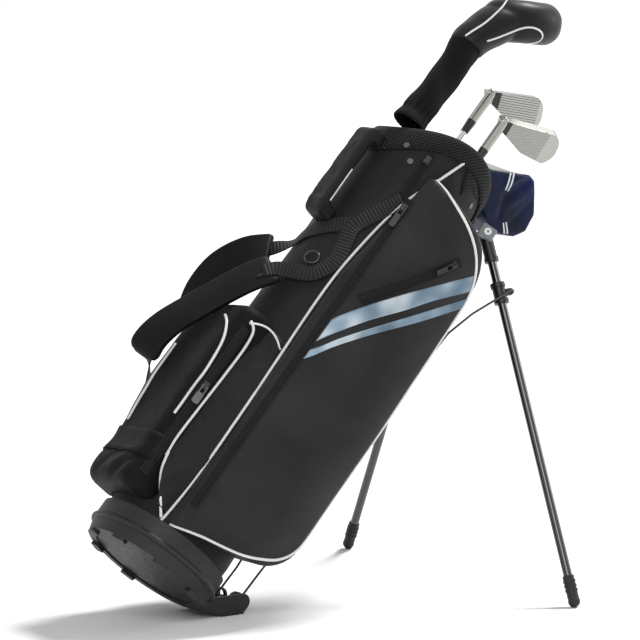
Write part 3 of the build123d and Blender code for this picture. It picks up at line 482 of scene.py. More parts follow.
def knitted(name):
    """A rib-knit sleeve: soft ribs down its length, painted darker between them as painted shade, and a
    matt, fuzzy face.
    """
    made, tree, shader = new_finish(name, "#131314", 0.85, Sheen_Weight=0.05, Sheen_Roughness=0.5,
                                    Specular_IOR_Level=0.12)
    flat = add(tree, "ShaderNodeTexCoord").outputs["UV"]
    ribs_and_painted_shade = waves(tree, flat, "X", 3.4)
    # painted shade: the colour goes darker between the ribs and lighter on their tops
    tint(tree, shader, spread(tree, ribs_and_painted_shade, 0.15, 0.9), "#0c0c0d", "#1a1a1b")
    relief(tree, shader, ribs_and_painted_shade, 0.6, 0.9)
    relief(tree, shader, waves(tree, flat, "Y", 1.8), 0.25, 0.3)
    return made


def moulded(name, low, high, roughness, **sockets):
    """Moulded plastic or rubber: an even spark-eroded grain with slight handling marks."""
    made, tree, shader = new_finish(name, low, roughness, **sockets)
    where = bag_place(tree)
    tint(tree, shader, spread(tree, uneven(tree, where, 35), 0.3, 0.7), low, high)
    relief(tree, shader, uneven(tree, where, 1.1, 1), 0.22, 0.12)
    marks = spread(tree, uneven(tree, where, 9, 4, 0.65), 0.35, 0.75, roughness - 0.07, roughness + 0.09)
    tree.links.new(marks, shader.inputs["Roughness"])
    return made


def metal(name, base, roughness, brush_mm=0.0, **sockets):
    """Steel or nickel: plated, drawn or brushed, with faint smears in its shine."""
    made, tree, shader = new_finish(name, base, roughness, 1.0, **sockets)
    where = bag_place(tree)
    smear = spread(tree, uneven(tree, where, 12, 3), 0.3, 0.7, roughness * 0.85, roughness * 1.25)
    tree.links.new(smear, shader.inputs["Roughness"])
    if brush_mm:
        lines = add(tree, "ShaderNodeMapping", {"Vector": where, "Scale": (1, 1, 30)})
        relief(tree, shader, uneven(tree, lines.outputs[0], brush_mm * 10, 2), 0.12, 0.08)
    return made


def stripe_film(name):
    """Metallised film bonded to the cloth: blue steel, with soft light patches painted into its colour as
    painted reflection.
    """
    made, tree, shader = new_finish(name, "#4a6478", 0.38, 0.30, Coat_Weight=0.2, Coat_Roughness=0.3)
    where = bag_place(tree)
    stretched = add(tree, "ShaderNodeMapping", {"Vector": where, "Scale": (1.0, 1.0, 0.8)})
    # painted reflection: soft noise patches, coloured below from dark blue to pale silver
    light = uneven(tree, stretched.outputs[0], 48, 1.5)
    ramp = add(tree, "ShaderNodeValToRGB", {0: light})
    ramp.color_ramp.elements[0].position = 0.36
    ramp.color_ramp.elements[0].color = colour("#3f5b70")
    ramp.color_ramp.elements[1].position = 0.66
    ramp.color_ramp.elements[1].color = colour("#c2ccd3")
    middle = ramp.color_ramp.elements.new(0.52)
    middle.color = colour("#8296a6")
    tree.links.new(ramp.outputs[0], shader.inputs["Base Color"])
    relief(tree, shader, uneven(tree, where, 5, 2), 0.10, 0.2)
    return made


def milled_face(name, blade, groove_mm, cross_groove, toe_from, heel_to, depth=2.6):
    """Satin nickel over forged steel, its face cut with even grooves that are painted darker
    inside as painted shade, so that they read as fine dark lines; the heel end of the face,
    by the hosel, is painted dark as painted shade, and the toe left plain. blade holds its own
    long and tall directions and its heel; the rest is millimetres along it."""
    long_way, tall_way, heel = blade
    made, tree, shader = new_finish(name, "#a0a19b", 0.34, 0.85)
    spot = add(tree, "ShaderNodeTexCoord").outputs["Object"]
    shifted = add(tree, "ShaderNodeVectorMath", {0: spot, 1: tuple(heel)}, operation="SUBTRACT").outputs[0]

    def along_way(way):
        return add(tree, "ShaderNodeVectorMath", {0: shifted, 1: tuple(way)},
                   operation="DOT_PRODUCT").outputs["Value"]

    run, rise, deep = along_way(long_way), along_way(tall_way), along_way(long_way.cross(tall_way))
    lines = reckon(tree, "MULTIPLY", rise, 1000 / groove_mm)
    if cross_groove:
        swing = reckon(tree, "SINE", reckon(tree, "MULTIPLY", run, 420.0))
        lines = reckon(tree, "ADD", lines, reckon(tree, "MULTIPLY", swing, 0.22))
    groove = reckon(tree, "LESS_THAN", reckon(tree, "FRACT", lines), 0.26)
    front = reckon(tree, "GREATER_THAN", deep, depth / 1000)
    past_heel = reckon(tree, "GREATER_THAN", run, heel_to / 1000)
    short_of_toe = reckon(tree, "LESS_THAN", run, toe_from / 1000)
    zone = reckon(tree, "MULTIPLY", reckon(tree, "MULTIPLY", past_heel, short_of_toe), front)
    groove_cut_and_painted_shade = reckon(tree, "MULTIPLY", zone, groove)
    # painted shade: the grooves get a darker colour than the face around them
    mix = tint(tree, shader, groove_cut_and_painted_shade, "#a0a19b", "#4d4e4b")
    off_hosel = reckon(tree, "GREATER_THAN", run, 0.004)
    at_heel = reckon(tree, "LESS_THAN", run, heel_to / 1000)
    heel_painted_shade_zone = reckon(tree, "MULTIPLY", reckon(tree, "MULTIPLY", off_hosel, at_heel), front)
    # painted shade at the heel end of the face, next to the hosel
    heel_painted_shade = add(tree, "ShaderNodeMix", {0: heel_painted_shade_zone, 6: mix.outputs[2], 7: colour("#333433")},
               data_type="RGBA")
    tree.links.new(heel_painted_shade.outputs[2], shader.inputs["Base Color"])
    tree.links.new(spread(tree, zone, 0, 1, 0.20, 0.42), shader.inputs["Roughness"])
    relief(tree, shader, groove_cut_and_painted_shade, -0.5, 0.3)
    return made


# cloths: three depths of black, from the tube's to the ball pocket's, the darkest; the ball pocket's is the
# tube's polyester painted darker, as painted shade
cloth_black = woven_polyester("woven_polyester_black", "#151516", "#1f1f20", 0.60)
cloth_panel = woven_polyester("woven_polyester_panel", "#1c1c1d", "#2b2b2c", 0.58)
# painted shade: the ball pocket's cloth is the same woven polyester in a darker colour
cloth_ball = woven_polyester("woven_polyester_ball_painted_shade", "#070708", "#101011", 0.60, sheen=0.02, gloss=0.10)
tape_black = woven_polyester("zip_tape_cloth", "#0d0d0e", "#161617", 0.7, 1.6, 0.1)
mesh_black = air_mesh("spacer_mesh_black")
knit_black = knitted("rib_knit_black")
# webbings: coarse ribs painted lighter on top and darker between, as painted highlight and shade, and a
# fine binding
webbing_black = ribbed_webbing("polypropylene_webbing", "#101011", "#252526", 4.6)
webbing_fine = ribbed_webbing("nylon_binding", "#151516", "#212122", 1.5)
# coated cloths and leathers: long soft highlights over a pebble grain
pad_skin = soft_skin("coated_foam_pad", "#080809", "#101011", 0.48, 2.2, 0.18, Specular_IOR_Level=0.12)
handle_skin = soft_skin("coated_handle_cloth", "#101011", "#1a1a1b", 0.50, 2.0, 0.2,
                        Specular_IOR_Level=0.18)
hide_black = soft_skin("synthetic_leather_black", "#08080a", "#101011", 0.40, 1.8, 0.3,
                       Specular_IOR_Level=0.20)
hide_navy = soft_skin("synthetic_leather_navy", "#040c22", "#0b1c48", 0.36, 1.6, 0.22,
                      Specular_IOR_Level=0.16)
# whites: the pipings draw the bag's seams as clean lines
piping_white = soft_skin("pvc_piping_white", "#e9e9e8", "#f3f3f2", 0.42, 3.0, 0.08)
tape_white = soft_skin("sewn_tape_white", "#dfe3e6", "#eef0f0", 0.5, 2.0, 0.1)
film_blue = stripe_film("metallised_film_blue")
# plastics and rubbers: matt boot and grips, half-matt fittings, deep gloss on legs and driver
abs_black = moulded("moulded_abs_black", "#101012", "#18181a", 0.40, Specular_IOR_Level=0.4)
abs_grey = moulded("moulded_abs_grey", "#75787a", "#85888a", 0.40, Coat_Weight=0.15, Coat_Roughness=0.3)
rubber_boot = moulded("moulded_rubber_boot", "#141517", "#1e1f21", 0.55, Specular_IOR_Level=0.35)
rubber_grip = moulded("moulded_rubber_grip", "#141415", "#1c1c1d", 0.7)
glass_fibre = moulded("glass_fibre_batten", "#2a2a2c", "#343436", 0.5)
ferrule_gloss = moulded("cellulose_ferrule_black", "#0c0c0d", "#101011", 0.18)
enamel_black = moulded("gloss_enamel_black", "#08080a", "#0b0b0d", 0.16, Coat_Weight=0.8,
                       Coat_Roughness=0.05)
driver_black = moulded("driver_enamel_black", "#0a0a0c", "#101013", 0.12, Coat_Weight=1.0,
                       Coat_Roughness=0.03)
# metals: dark zips and springs, a bright rivet on each cap, mirror shafts and a satin putter
zip_black = metal("zip_teeth_black_nickel", "#3a3a3c", 0.35)
pull_nickel = metal("zip_pull_nickel", "#5c5d5f", 0.34)
spring_wire = metal("spring_steel_wire", "#4b4b4d", 0.32)
steel_bright = metal("polished_steel", "#d5d6d8", 0.12)
steel_shaft = metal("chrome_plated_steel", "#dcdcda", 0.08)
nickel_satin = metal("satin_nickel", "#b9bab4", 0.28, 1.0)


# ---------------------------------------------------------------- bag body
def bump_at(value, middle, width):
    """1 at a place, and soon 0 beside it."""
    return np.exp(-(((value - middle) / width) ** 2))


def fabric_tube():
    """The fabric tube: near round, eased over its battens, with soft folds where straps pull."""
    turns = np.linspace(0, 360, 169)[:-1]
    heights = np.concatenate([
        np.linspace(-0.5, 26, 5), np.linspace(31, 590, 112), np.linspace(594, 660, 16)])
    rows = []
    for h in heights:
        ring = np.array([round_tube(t, FABRIC, h) for t in turns])
        top = rim(ring[:, 0], 9.0)
        ring[:, 2] = np.minimum(h, top)
        q = ring.copy()
        free = np.clip((h - 30) / 40, 0, 1) * np.clip((top - h) / 30, 0, 1)
        push = 0.9 * ripple(q, 75, 1.3) + 0.5 * ripple(q, 34, 4.1)
        push += crease(q, round_tube(28, 85, 470), round_tube(44, 85, 560), 6, 2.4)
        push += crease(q, round_tube(16, 85, 480), round_tube(30, 85, 600), 9, -1.6)
        push += crease(q, round_tube(40, 85, 395), round_tube(22, 85, 330), 8, 2.0)
        push += crease(q, round_tube(70, 85, 640), round_tube(96, 85, 600), 9, 1.6)
        swell = 0.9 * bump_at(h, 40, 14)
        ring[:, :2] *= (1 + (np.clip(push, -0.8, 3.0) * free + swell)[:, None] / FABRIC)
        rows.append(ring)
    obj = piece("fabric_tube", grid_mesh("fabric_tube", rows, True), cloth_black)
    thicken(obj, 1.4, -1)
    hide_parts("bag_shell")
    return obj


def collar():
    """The padded mesh band rolled over the mouth's edge."""
    turns = np.linspace(0, 360, 145)[:-1]
    # out from the bag's axis, and under the rim: up the outside, over, and down the inside
    profile = ((85.6, 25.5), (88.0, 25.0), (89.6, 21.5), (90.3, 15.0), (90.4, 8.0), (89.8, 2.5),
               (88.0, -0.8), (85.0, -2.0), (82.0, -1.0), (79.6, 1.5), (78.7, 5.5), (78.7, 9.0))
    dense = spline(np.array([(r, 0, d) for r, d in profile]), 1.6)
    rows = []
    for r, _, d in dense:
        ring = np.array([round_tube(t, r, 0) for t in turns])
        ring[:, 2] = rim(ring[:, 0] * min(1.0, 89.0 / r), d)
        bulge = 0.5 * ripple(ring, 60, 2.2) * (0 if d > 22 or r < 80 else 1)
        ring[:, :2] *= 1 + bulge[:, None] / r
        rows.append(ring)
    obj = piece("mesh_collar", grid_mesh("mesh_collar", rows, True), mesh_black)
    thicken(obj, 1.0, -1)
    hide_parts("collar_pad")
    return obj


tube_cloth = fabric_tube()
collar_mesh = collar()


# ---------------------------------------------------------------- pockets
def zip_guard(q):
    """1 away from the big pocket's zips, and 0 beside them, where the cloth is held flat."""
    main = np.abs(q[:, 0] + 48) / 14
    x0, h0, x1, h1 = -32.0, 406.0, 46.0, 533.0
    run = np.array([x1 - x0, h1 - h0])
    share = np.clip(((q[:, [0, 2]] - (x0, h0)) @ run) / (run @ run), 0, 1)
    slanted = np.linalg.norm(q[:, [0, 2]] - (np.array([x0, h0]) + share[:, None] * run), axis=1) / 16
    return np.clip(np.minimum(main, slanted) - 0.4, 0, 1)


def big_pocket_form(q, out):
    """Filled softly: a slight belly low down, tension lines from the top corner and the seam."""
    face = np.clip(-out[:, 1], 0, 1)
    push = 0.8 * ripple(q, 120, 2.0) + 0.35 * ripple(q, 46, 5.2)
    push += 1.6 * bump_at(q[:, 2], 190, 120) * bump_at(q[:, 0], 30, 45)
    push += crease(q, (-20, -103, 560), (40, -122, 500), 9, -1.2)
    push += crease(q, (-30, -97, 520), (10, -116, 470), 8, 1.0)
    push += crease(q, (20, -120, 60), (70, -122, 105), 9, 1.2)
    push += crease(q, (95, -110, 430), (60, -122, 350), 10, -1.1)
    return np.clip(push, -1.5, 3.0) * face * zip_guard(q)


big_pocket = soft_form("apparel_pocket", "apparel_pocket_cloth", cloth_panel,
                       3.5, 5, big_pocket_form)


def ball_pocket_form(q, out):
    """A boxy pocket gone soft: pulled in by its band, creased under it, full above."""
    face = np.clip(np.hypot(out[:, 0], out[:, 1]), 0, 1)
    high = q[:, 2]
    push = 0.9 * ripple(q, 80, 3.0) + 0.4 * ripple(q, 30, 6.0)
    push += 2.2 * bump_at(high, 62, 15) - 2.2 * bump_at(high, 96, 16) + 1.5 * bump_at(high, 200, 60)
    push += crease(q, (-120, -36, 84), (-118, 8, 40), 5, -2.6)
    push += crease(q, (-120, -10, 84), (-119, 18, 52), 6, 2.2)
    push += crease(q, (-120, 20, 82), (-118, 48, 44), 6, -2.0)
    push += crease(q, (-112, -52, 70), (-100, -50, 40), 6, -1.8)
    turn = np.degrees(np.arctan2(-q[:, 1], -q[:, 0]))
    near_corner, far_corner = bump_at(turn, 24, 9), bump_at(turn, -34, 16)
    full = 8.0 * far_corner * np.clip((high - 125) / 70, 0, 1) * np.clip((318 - high) / 30, 0, 1)
    return (np.clip(push, -3, 4) + full) * face * (1 - 0.9 * near_corner)


ball_pocket = soft_form("ball_pocket", "ball_pocket_cloth", cloth_ball,
                        3.0, 5, ball_pocket_form)


def far_pocket_form(q, out):
    """Filled evenly, with a belly in its middle."""
    face = np.clip(out[:, 1], 0, 1)
    push = 1.2 * ripple(q, 90, 4.4) + 0.4 * ripple(q, 40, 1.2)
    push += 1.8 * bump_at(q[:, 2], 230, 90)
    return np.clip(push, -1.5, 3.5) * face


soft_form("far_pocket", "far_pocket_cloth", cloth_panel, 4.0, 5, far_pocket_form)


def ball_gusset():
    """The near gusset: cloth that bridges from the ball pocket's corner to the long seam."""
    count = 70
    corner = evenly(spline([
        (-80, -66, 36), (-92, -50, 76), (-97, -39, 124), (-98, -38, 221), (-99, -36, 257),
        (-95, -20, 300)], 6.0), count)
    seam = evenly(spline([
        (-61, -64, 36), (-58, -67, 90), (-57, -69, 180), (-59, -64, 260), (-61, -61, 284),
        (-64, -62, 304)], 6.0), count)
    up = np.linspace(0, 1, count)
    outwards = np.array([-0.55, -0.83, 0])
    rows = []
    for share in np.linspace(0, 1, 18):
        line = corner + (seam - corner) * share
        sag = 4 * share * (1 - share)
        line[:, 2] += 9 * sag * np.clip((up - 0.8) / 0.2, 0, 1)
        dip = (0.5 + 1.4 * ripple(line, 60, 2.8) + 0.8 * ripple(line, 26, 5.5)) * sag
        dip += crease(line, (-90, -46, 290), (-84, -50, 235), 5, -2.4) * sag
        dip += crease(line, (-82, -50, 296), (-78, -52, 262), 4, 2.0) * sag
        dip += crease(line, (-74, -55, 298), (-70, -57, 270), 4, -2.0) * sag
        dip += crease(line, (-96, -40, 205), (-70, -58, 190), 5, -1.6) * sag
        dip += crease(line, (-90, -45, 60), (-72, -58, 100), 7, 1.8) * sag
        rows.append(line + np.outer(dip, outwards))
    mesh = grid_mesh("ball_gusset", np.array(rows).transpose(1, 0, 2))
    return thicken(piece("ball_gusset", mesh, cloth_black), 1.2, 0)


gusset = ball_gusset()


# ---------------------------------------------------------------- handle and straps
def handle_form(q, out):
    """Wrapped foam: a little lumpy, folded where the hand bends it."""
    push = 0.7 * ripple(q, 40, 1.9) + 0.4 * ripple(q, 18, 3.3)
    push += crease(q, (-115, -17, 492), (-115, 17, 492), 5, -2.0)
    push += crease(q, (-115, -17, 506), (-115, 17, 506), 5, -1.2)
    return push


handle = soft_form("carry_handle", "carry_handle_cloth", handle_skin, 2.2, 4, handle_form)


def round_ends(share):
    """A pad's width and thickness along it: full, square at its top and rounded off below."""
    top, foot = min(share, 0.03) / 0.03, min(1 - share, 0.08) / 0.08
    foot = sqrt(1 - (1 - foot) ** 2)
    return (0.94 + 0.06 * top) * (0.45 + 0.55 * foot), (0.70 + 0.30 * top) * (0.55 + 0.45 * foot)


pad_near = strap("strap_pad_near_cloth", [
    ((-98, 3, 388), (-0.90, -0.38, 0.10)), ((-115, 20, 352), (-0.88, -0.40, 0.25)),
    ((-134, 48, 290), (-0.84, -0.42, 0.34)), ((-141, 66, 256), (-0.86, -0.46, 0.25)),
    ((-141, 78, 230), (-0.88, -0.48, 0.10)), ((-134, 86, 208), (-0.88, -0.48, 0.0))],
    50, 9.5, pad_skin, corner=4.0, shape=round_ends)
pad_far = strap("strap_pad_far_cloth", [
    ((-94, 46, 419), (-0.80, -0.45, 0.20)), ((-101, 74, 402), (-0.66, -0.72, 0.10)),
    ((-104, 100, 374), (-0.60, -0.76, 0.0)), ((-98, 116, 342), (-0.60, -0.76, 0.0)),
    ((-88, 120, 312), (-0.55, -0.78, 0.0))],
    54, 8.0, pad_skin, corner=3.4, shape=round_ends)
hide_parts("strap_pad_near")
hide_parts("strap_pad_far")


def shell_place(turn, h, off=1.0):
    """A strap's place on the fabric tube, facing straight out."""
    spot = round_tube(turn, FABRIC + off, h)
    return spot, (spot[0] / SHELL, spot[1] / SHELL, 0)


webbing_near = strap("strap_webbing_near_upper", [
    shell_place(57, 553), shell_place(44, 517), shell_place(35, 489), shell_place(36, 468),
    shell_place(39, 446), shell_place(38, 427), shell_place(29, 406),
    ((-90, -21, 396), (-0.94, -0.32, 0.0)),
    ((-103.5, -6, 388), (-0.94, -0.33, 0.05)), ((-112, 3, 376), (-0.92, -0.35, 0.12))],
    22, 2.0, webbing_black, off_shell=FABRIC + 0.9)
strap("strap_webbing_near_tail", [
    ((-128, 90, 214), (-0.85, -0.20, -0.20)), ((-112, 92, 204), (-0.70, 0.50, -0.30)),
    ((-90, 92, 172), (-0.60, 0.75, 0.0)), ((-62, 90, 116), (-0.60, 0.80, 0.0)), shell_place(-100, 62)],
    22, 2.0, webbing_black, off_shell=FABRIC + 0.5)
webbing_far = strap("strap_webbing_far_upper", [
    shell_place(36, 492), shell_place(21, 482), shell_place(6, 470), shell_place(-9, 460),
    shell_place(-20, 446),
    ((-90, 42, 430), (-0.86, -0.25, 0.1)), ((-97.5, 57, 417), (-0.75, -0.60, 0.0)),
    ((-104, 70, 407), (-0.62, -0.75, -0.1))],
    22, 2.0, webbing_black, off_shell=FABRIC + 0.9)
strap("strap_webbing_far_tail", [
    ((-82, 114, 312), (-0.60, 0.80, 0.1)), ((-70, 120, 240), (-0.40, 0.90, 0.0)),
    ((-50, 112, 160), (-0.40, 0.90, 0.0)), shell_place(-108, 98)],
    22, 2.0, webbing_black, off_shell=FABRIC + 0.5)


def strap_ring():
    """The wire ring between the two webbings, lying on the tube."""
    turns = np.linspace(0, 2 * pi, 37)[:-1]
    line = [np.array(round_tube(19 + 7 * cos(t), FABRIC + 3.2, 426)) + (0, 0, 9 * sin(t)) for t in turns]
    line = np.array(line + line[:1])
    run_section("strap_ring", line, line * (1, 1, 0), round_section(1.2), spring_wire)


strap_ring()
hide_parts("strap_webbing_near")
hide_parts("strap_webbing_far")


# ---------------------------------------------------------------- driver cover and sock
def driver_cover_form(q, out):
    """Padded and pulled tight: hardly uneven."""
    push = 0.6 * ripple(q, 60, 1.1) + 0.3 * ripple(q, 24, 2.9)
    return np.clip(push, -0.8, 1.5)


def cover_neck():
    """The cover's skirt, from the sock up into the padded cap."""
    turns = np.linspace(0, 2 * pi, 49)[:-1]
    stations = spline([
        # up, across, half across, half aside
        (797, -69, 24.5, 25), (812, -67, 26, 27), (830, -60, 28, 31), (848, -53, 30, 35),
        (866, -44, 31, 36), (884, -34, 27, 30)])
    rows = [[(x + a * cos(t), DRIVER[1] + b * sin(t), h) for t in turns] for h, x, a, b in stations]
    return grid_mesh("cover_neck", rows, True, True)


driver_cover = soft_form("driver_cover_shell", "driver_cover_cloth", hide_black, 2.2, 9,
                         driver_cover_form, "driver", cover_neck())


def sock():
    """The knitted sleeve: gathered by its elastic, loose at the flared mouth."""
    stations = np.array([
        # up, shift across, shift aside, half across, half aside
        (0, -9, 0, 25.5, 24.0), (6, -10, 0, 23.0, 22.5), (16, -9, 0, 20.0, 19.5), (26, -9, 0, 20.5, 20.0),
        (36, -8, 0, 21.5, 21.0), (60, -7, 0, 20.5, 20.5), (90, -6, 0, 20.0, 20.0), (112, -5, 0, 21.0, 21.5),
        (134, -7, 0, 22.0, 22.5), (142, -7, 0, 21.0, 21.5)], float)
    line = spline(stations[:, [1, 2, 0]], 3.0)
    across_half = np.interp(line[:, 2], stations[:, 0], stations[:, 3])
    aside_half = np.interp(line[:, 2], stations[:, 0], stations[:, 4])
    turns = np.linspace(0, 2 * pi, 97)[:-1]
    rib = 0.35 * np.cos(turns * 30)
    pleats = 0.9 * np.cos(turns * 15 + 0.4) + 0.4 * np.cos(turns * 7)
    rows = []
    for (sx, sy, up), a, b in zip(line, across_half, aside_half):
        loose = 1.3 * np.sin(turns * 3 + up * 0.05) * bump_at(up, 95, 45)
        loose += 0.8 * np.sin(turns * 2 + up * 0.11)
        fold = rib + bump_at(up, 20, 12) * pleats + loose
        rows.append(np.transpose([
            DRIVER[0] + sx + (a + fold) * np.cos(turns), DRIVER[1] + sy + (b + fold) * np.sin(turns),
            np.full(len(turns), SOCK_BASE + up)]))
    obj = piece("knit_sock", grid_mesh("knit_sock", rows, True), knit_black, "driver")
    thicken(obj, 2.2, -1)
    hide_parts("driver_cover_sock")


sock()


# ---------------------------------------------------------------- putter cover
def putter_cover_form(q, out):
    """Quilted loosely over the head: slanting folds on its face."""
    face = np.clip(-out[:, 1], 0, 1)
    push = 0.8 * ripple(q, 46, 1.5) + 0.3 * ripple(q, 20, 3.8)
    push += face * crease(q, (128, -25, 733), (109, -25, 688), 5, -3.0)
    push += face * crease(q, (122, -25, 742), (101, -25, 702), 6, 2.2)
    push += face * crease(q, (136, -25, 720), (118, -25, 676), 6, 2.0)
    push += face * crease(q, (112, -25, 688), (120, -25, 660), 5, -1.8)
    push += face * crease(q, (150, -25, 712), (140, -25, 664), 5, -1.0)
    return push


putter_cover = soft_form("putter_cover", "putter_cover_hide", hide_navy, 1.8, 5,
                         putter_cover_form, "putter_cover")
TAPE_ENDS = (((97, -26, 722), (107, -26, 696)), ((133, -26, 663), (146, -26, 652)))


def putter_tape(name, start, end, middle, half=1.2):
    """A white tape sewn slanting over the putter cover's face, that far beside its line."""
    start, end = np.array(start, float), np.array(end, float)
    way = (end - start) / np.linalg.norm(end - start)
    beside = np.array([-way[2], 0, way[0]])
    edges = [[start + beside * off, end + beside * off] for off in (middle - half, middle + half)]
    patch(name, *edges, putter_cover, 0.3, 0.5, tape_white, "cover_leather", "putter_cover", 3)


for row, middle in enumerate((-2.6, 2.6)):
    for part, (start, end) in enumerate(TAPE_ENDS):
        putter_tape(f"putter_tape_{part + 1}_{row + 1}", start, end, middle)


# ---------------------------------------------------------------- white piping
piping("piping_long_seam", [
    (-16, -91, 647), (-31, -87, 602), (-47, -75, 547), (-56, -66, 468), (-60, -63, 388), (-58, -67, 233),
    (-57, -68, 98), (-60, -66, 32), (-64, -67, 13)], [tube_cloth, gusset], lift=1.8)
piping("piping_pocket_edge", [
    (-34, -88, 601), (-12, -107, 590), (25, -121, 576), (56, -123, 560), (82, -118, 536), (97, -113, 500),
    (103, -111, 417), (106, -110, 319), (110, -107, 227), (112, -106, 165), (104, -110, 112),
    (84, -117, 80), (55, -122, 60), (2, -114, 36), (-30, -98, 29), (-52, -72, 26)], big_pocket, lift=0.4)
piping("piping_ball_corner_outer", [
    (-114, 1, 297), (-114, -12, 290), (-112, -24, 268), (-112, -29, 225), (-112, -29, 185),
    (-112, -29, 146)],
    ball_pocket)
piping("piping_ball_corner_inner", [
    (-99, -24, 307), (-96, -37, 297), (-95, -42, 270), (-96, -42, 221), (-97, -40, 171), (-98, -39, 124),
    (-97, -41, 96)], [ball_pocket, gusset, tube_cloth], lift=1.9)
piping("piping_ball_corner_foot", [(-97, -40, 102), (-94, -46, 76), (-85, -60, 50), (-66, -70, 24)],
       [ball_pocket, gusset, tube_cloth], lift=3.2)
piping("piping_ball_spine", [(-120, 59, 242), (-120, 58, 195), (-118, 57, 124)], ball_pocket)
piping("piping_ball_top", [
    (-95, -18, 306), (-88, -34, 311), (-78, -49, 309), (-69, -58, 302), (-62, -63, 294)],
    [ball_pocket, gusset, tube_cloth], radius=1.4, lift=0.8)
piping("piping_handle", [(-104, -17, 556), (-104, -17, 530), (-104, -17, 503)],
       handle, radius=1.0, lift=0.3)
piping("piping_cover_back", [(-92, -30, 800), (-80, -36, 835), (-69, -30, 872), (-58, -12, 898)],
       driver_cover, 1.4, "driver", 0.2)
piping("piping_cover_front", [
    (-64, -36, 814), (-51, -42, 835), (-38, -44, 860), (-26, -44, 874), (-11, -43, 881), (-1, -41, 879),
    (3, -36, 862), (-2, -30, 852)], driver_cover, 1.4, "driver", 0.2)

# ---------------------------------------------------------------- stripes and patches
patch("stripe_upper",
      [on_panel(-43, 326), on_panel(-33, 348), on_panel(-10, 389), on_panel(22, 434), on_panel(50, 473),
       on_panel(92, 521)],
      [on_panel(-43, 363), on_panel(-25, 398), on_panel(-2, 434), on_panel(21, 466), on_panel(50, 503),
       on_panel(79, 537)],
      big_pocket, 0.5, 0.5, film_blue, "fabric_black", across_count=9)
patch("stripe_lower",
      [on_panel(-44, 296), on_panel(-37, 308), on_panel(-25, 333), on_panel(0, 373), on_panel(65, 457),
       on_panel(98, 498)],
      [on_panel(-44, 312), on_panel(-37, 323), on_panel(-25, 347), on_panel(-2, 384), on_panel(57, 465),
       on_panel(96, 513)],
      big_pocket, 0.5, 0.5, film_blue, "fabric_black", across_count=7)
BAND_ROUND = ((-102, -54), (-112, -44), (-119, -28), (-118, 0), (-116, 24), (-113, 50), (-110, 72),
              (-100, 83), (-84, 81))
patch("ball_band", [(*spot, 78) for spot in BAND_ROUND], [(*spot, 114) for spot in BAND_ROUND],
      ball_pocket, 1.6, 2.0, cloth_ball, "fabric_black", across_count=8)
patch("mesh_tab", [round_tube(97, 86, 614), round_tube(92, 86, 630), round_tube(88, 86, 648)],
      [round_tube(119, 86, 631), round_tube(110, 86, 640), round_tube(91, 86, 652)],
      tube_cloth, 0.9, 1.2, mesh_black, "mesh_pad", across_count=6)
patch("strap_stitch_patch", [(-102, -12, 384), (-107, -6, 373), (-113, 0, 361)],
      [(-96, 14, 403), (-101, 20, 392), (-107, 26, 380)], pad_near, 0.5, 1.0, webbing_fine, "webbing")


# ---------------------------------------------------------------- finishes of the solids
def dress(finish, *names):
    """Gives solids their finish."""
    for name in names:
        for held in frame["nodes"][name].material_slots:
            held.material = finish


def head_axes(spot, heel, loft_angle, lie, turn):
    """A blade's own long and tall directions and its heel, from how the head is turned."""
    turned = (Matrix.Rotation(radians(-turn), 3, "Z") @ Matrix.Rotation(radians(-lie), 3, "Y")
              @ Matrix.Rotation(radians(90), 3, "X") @ Matrix.Rotation(radians(loft_angle), 3, "X"))
    ways = [Vector(np.array(turned @ Vector(unit)) @ AXES) for unit in ((1, 0, 0), (0, 1, 0))]
    return ways[0], ways[1], Vector(to_world((*spot, heel - 4)))


dress(milled_face("satin_nickel_grooved", head_axes(*IRON_1), 3.4, False, 82, 16), "iron_1_head")
dress(milled_face("satin_nickel_milled", head_axes(*IRON_2), 2.6, True, 70, 12), "iron_2_head")
dress(nickel_satin, "putter_head")
dress(steel_shaft, "iron_1_shaft", "iron_2_shaft", "driver_shaft", "putter_shaft")
dress(ferrule_gloss, "iron_1_ferrule", "iron_2_ferrule")
dress(rubber_grip, "iron_1_grip", "iron_2_grip", "driver_grip", "putter_grip")
dress(driver_black, "driver_head")
dress(rubber_boot, "base_boot", "foot_plate", "leg_foot_near", "leg_foot_far")
dress(enamel_black, "leg_tube_near", "leg_tube_far")
dress(abs_black, "leg_socket_near", "leg_socket_far", "leg_clip_near", "leg_clip_far", "leg_bracket",
      "top_cuff", "club_divider")
dress(abs_grey, "bracket_caps")
dress(steel_bright, "pivot_rivets")
dress(spring_wire, "rod_near", "rod_far")
dress(glass_fibre, "stay_rods")
dress(tape_black, "main_zip", "ball_zip", "upper_zip", "valuables_zip")
dress(zip_black, "main_zip_slider", "ball_zip_slider", "upper_zip_slider", "valuables_zip_slider",
      "main_zip_pull", "valuables_zip_pull", "foot_pin")
dress(pull_nickel, "ball_zip_pull", "snaps")


# ---------------------------------------------------------------- stage, light and camera
def studio_floor(half=30.0):
    """A plain white floor: it shows white behind the bag and keeps the soft shadow."""
    made = bpy.data.materials.new("studio_floor")
    made.use_nodes = True
    tree = made.node_tree
    tree.nodes.clear()
    paint = add(tree, "ShaderNodeMix", {
        0: not_lighting(tree), 6: colour("#f6f6f6"), 7: (FLOOR_SEEN,) * 3 + (1,)}, data_type="RGBA")
    body = add(tree, "ShaderNodeBsdfDiffuse", {"Color": paint.outputs[2]})
    add(tree, "ShaderNodeOutputMaterial", {"Surface": body.outputs[0]})
    mesh = bpy.data.meshes.new("floor")
    corners = [(-half, -half, 0), (half, -half, 0), (half, half, 0), (-half, half, 0)]
    mesh.from_pydata(corners, [], [(0, 1, 2, 3)])
    mesh.materials.append(made)
    obj = bpy.data.objects.new("floor", mesh)
    bpy.context.scene.collection.objects.link(obj)


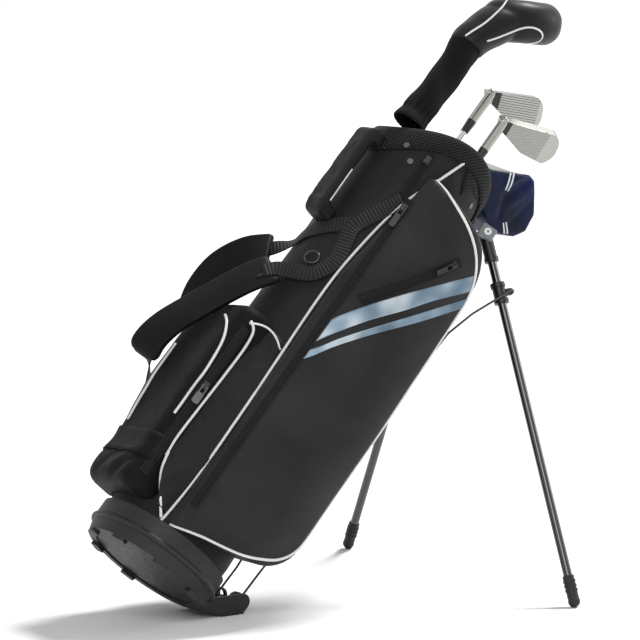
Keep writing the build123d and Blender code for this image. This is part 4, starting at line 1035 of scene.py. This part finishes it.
def studio_world():
    """A weak cool fill for the object, and plain white where the eye or a reflection looks."""
    world = bpy.data.worlds.new("studio")
    bpy.context.scene.world = world
    world.use_nodes = True
    tree = world.node_tree
    tree.nodes.clear()
    fill = add(tree, "ShaderNodeBackground", {"Color": colour("#f2f4f6"), "Strength": 0.24})
    white = add(tree, "ShaderNodeBackground", {"Color": (1, 1, 1, 1), "Strength": 1.0})
    mix = add(tree, "ShaderNodeMixShader", {0: not_lighting(tree), 1: fill.outputs[0], 2: white.outputs[0]})
    add(tree, "ShaderNodeOutputWorld", {"Surface": mix.outputs[0]})


def lamp(name, kind, power, place, target, size=0.0, angle=0.0):
    """A lamp looking at a target: a sun by its angle, or a square of light by its size."""
    data = bpy.data.lights.new(name, kind)
    data.energy = power
    if kind == "AREA":
        data.shape = "RECTANGLE"
        data.size, data.size_y = size, size
    else:
        data.angle = radians(angle)
    obj = bpy.data.objects.new(name, data)
    bpy.context.scene.collection.objects.link(obj)
    obj.location = place
    way = Vector(target) - Vector(place)
    obj.rotation_euler = way.to_track_quat("-Z", "Y").to_euler()


studio_floor()
studio_world()
# the key comes from about where the bag leans, so that the shadow lies under the boot
lamp("key", "SUN", 2.6, (2.2, 0.20, 3.3), (0, 0, 0), angle=13)
lamp("front_fill", "AREA", 42, (-1.6, -2.6, 2.2), (0.05, 0, 0.35), size=1.8)
lamp("side_strip", "AREA", 12, (2.6, -0.8, 1.2), (0.1, 0, 0.4), size=1.0)


def camera(turn=0.617165, drop=0.11644, off=4.2, lens=181.4):
    """The camera: its turn and drop in radians, and how far off it stands in metres."""
    looking = Vector((sin(turn) * cos(drop), cos(turn) * cos(drop), -sin(drop)))
    data = bpy.data.cameras.new("camera")
    data.sensor_width = 36
    data.lens = lens
    data.clip_end = 100
    obj = bpy.data.objects.new("camera", data)
    bpy.context.scene.collection.objects.link(obj)
    obj.location = Vector((0.16179, 0.0, 0.36574)) - looking * off
    obj.rotation_euler = looking.to_track_quat("-Z", "Y").to_euler()
    bpy.context.scene.camera = obj


camera()
bpy.context.scene.view_settings.view_transform = "Standard"
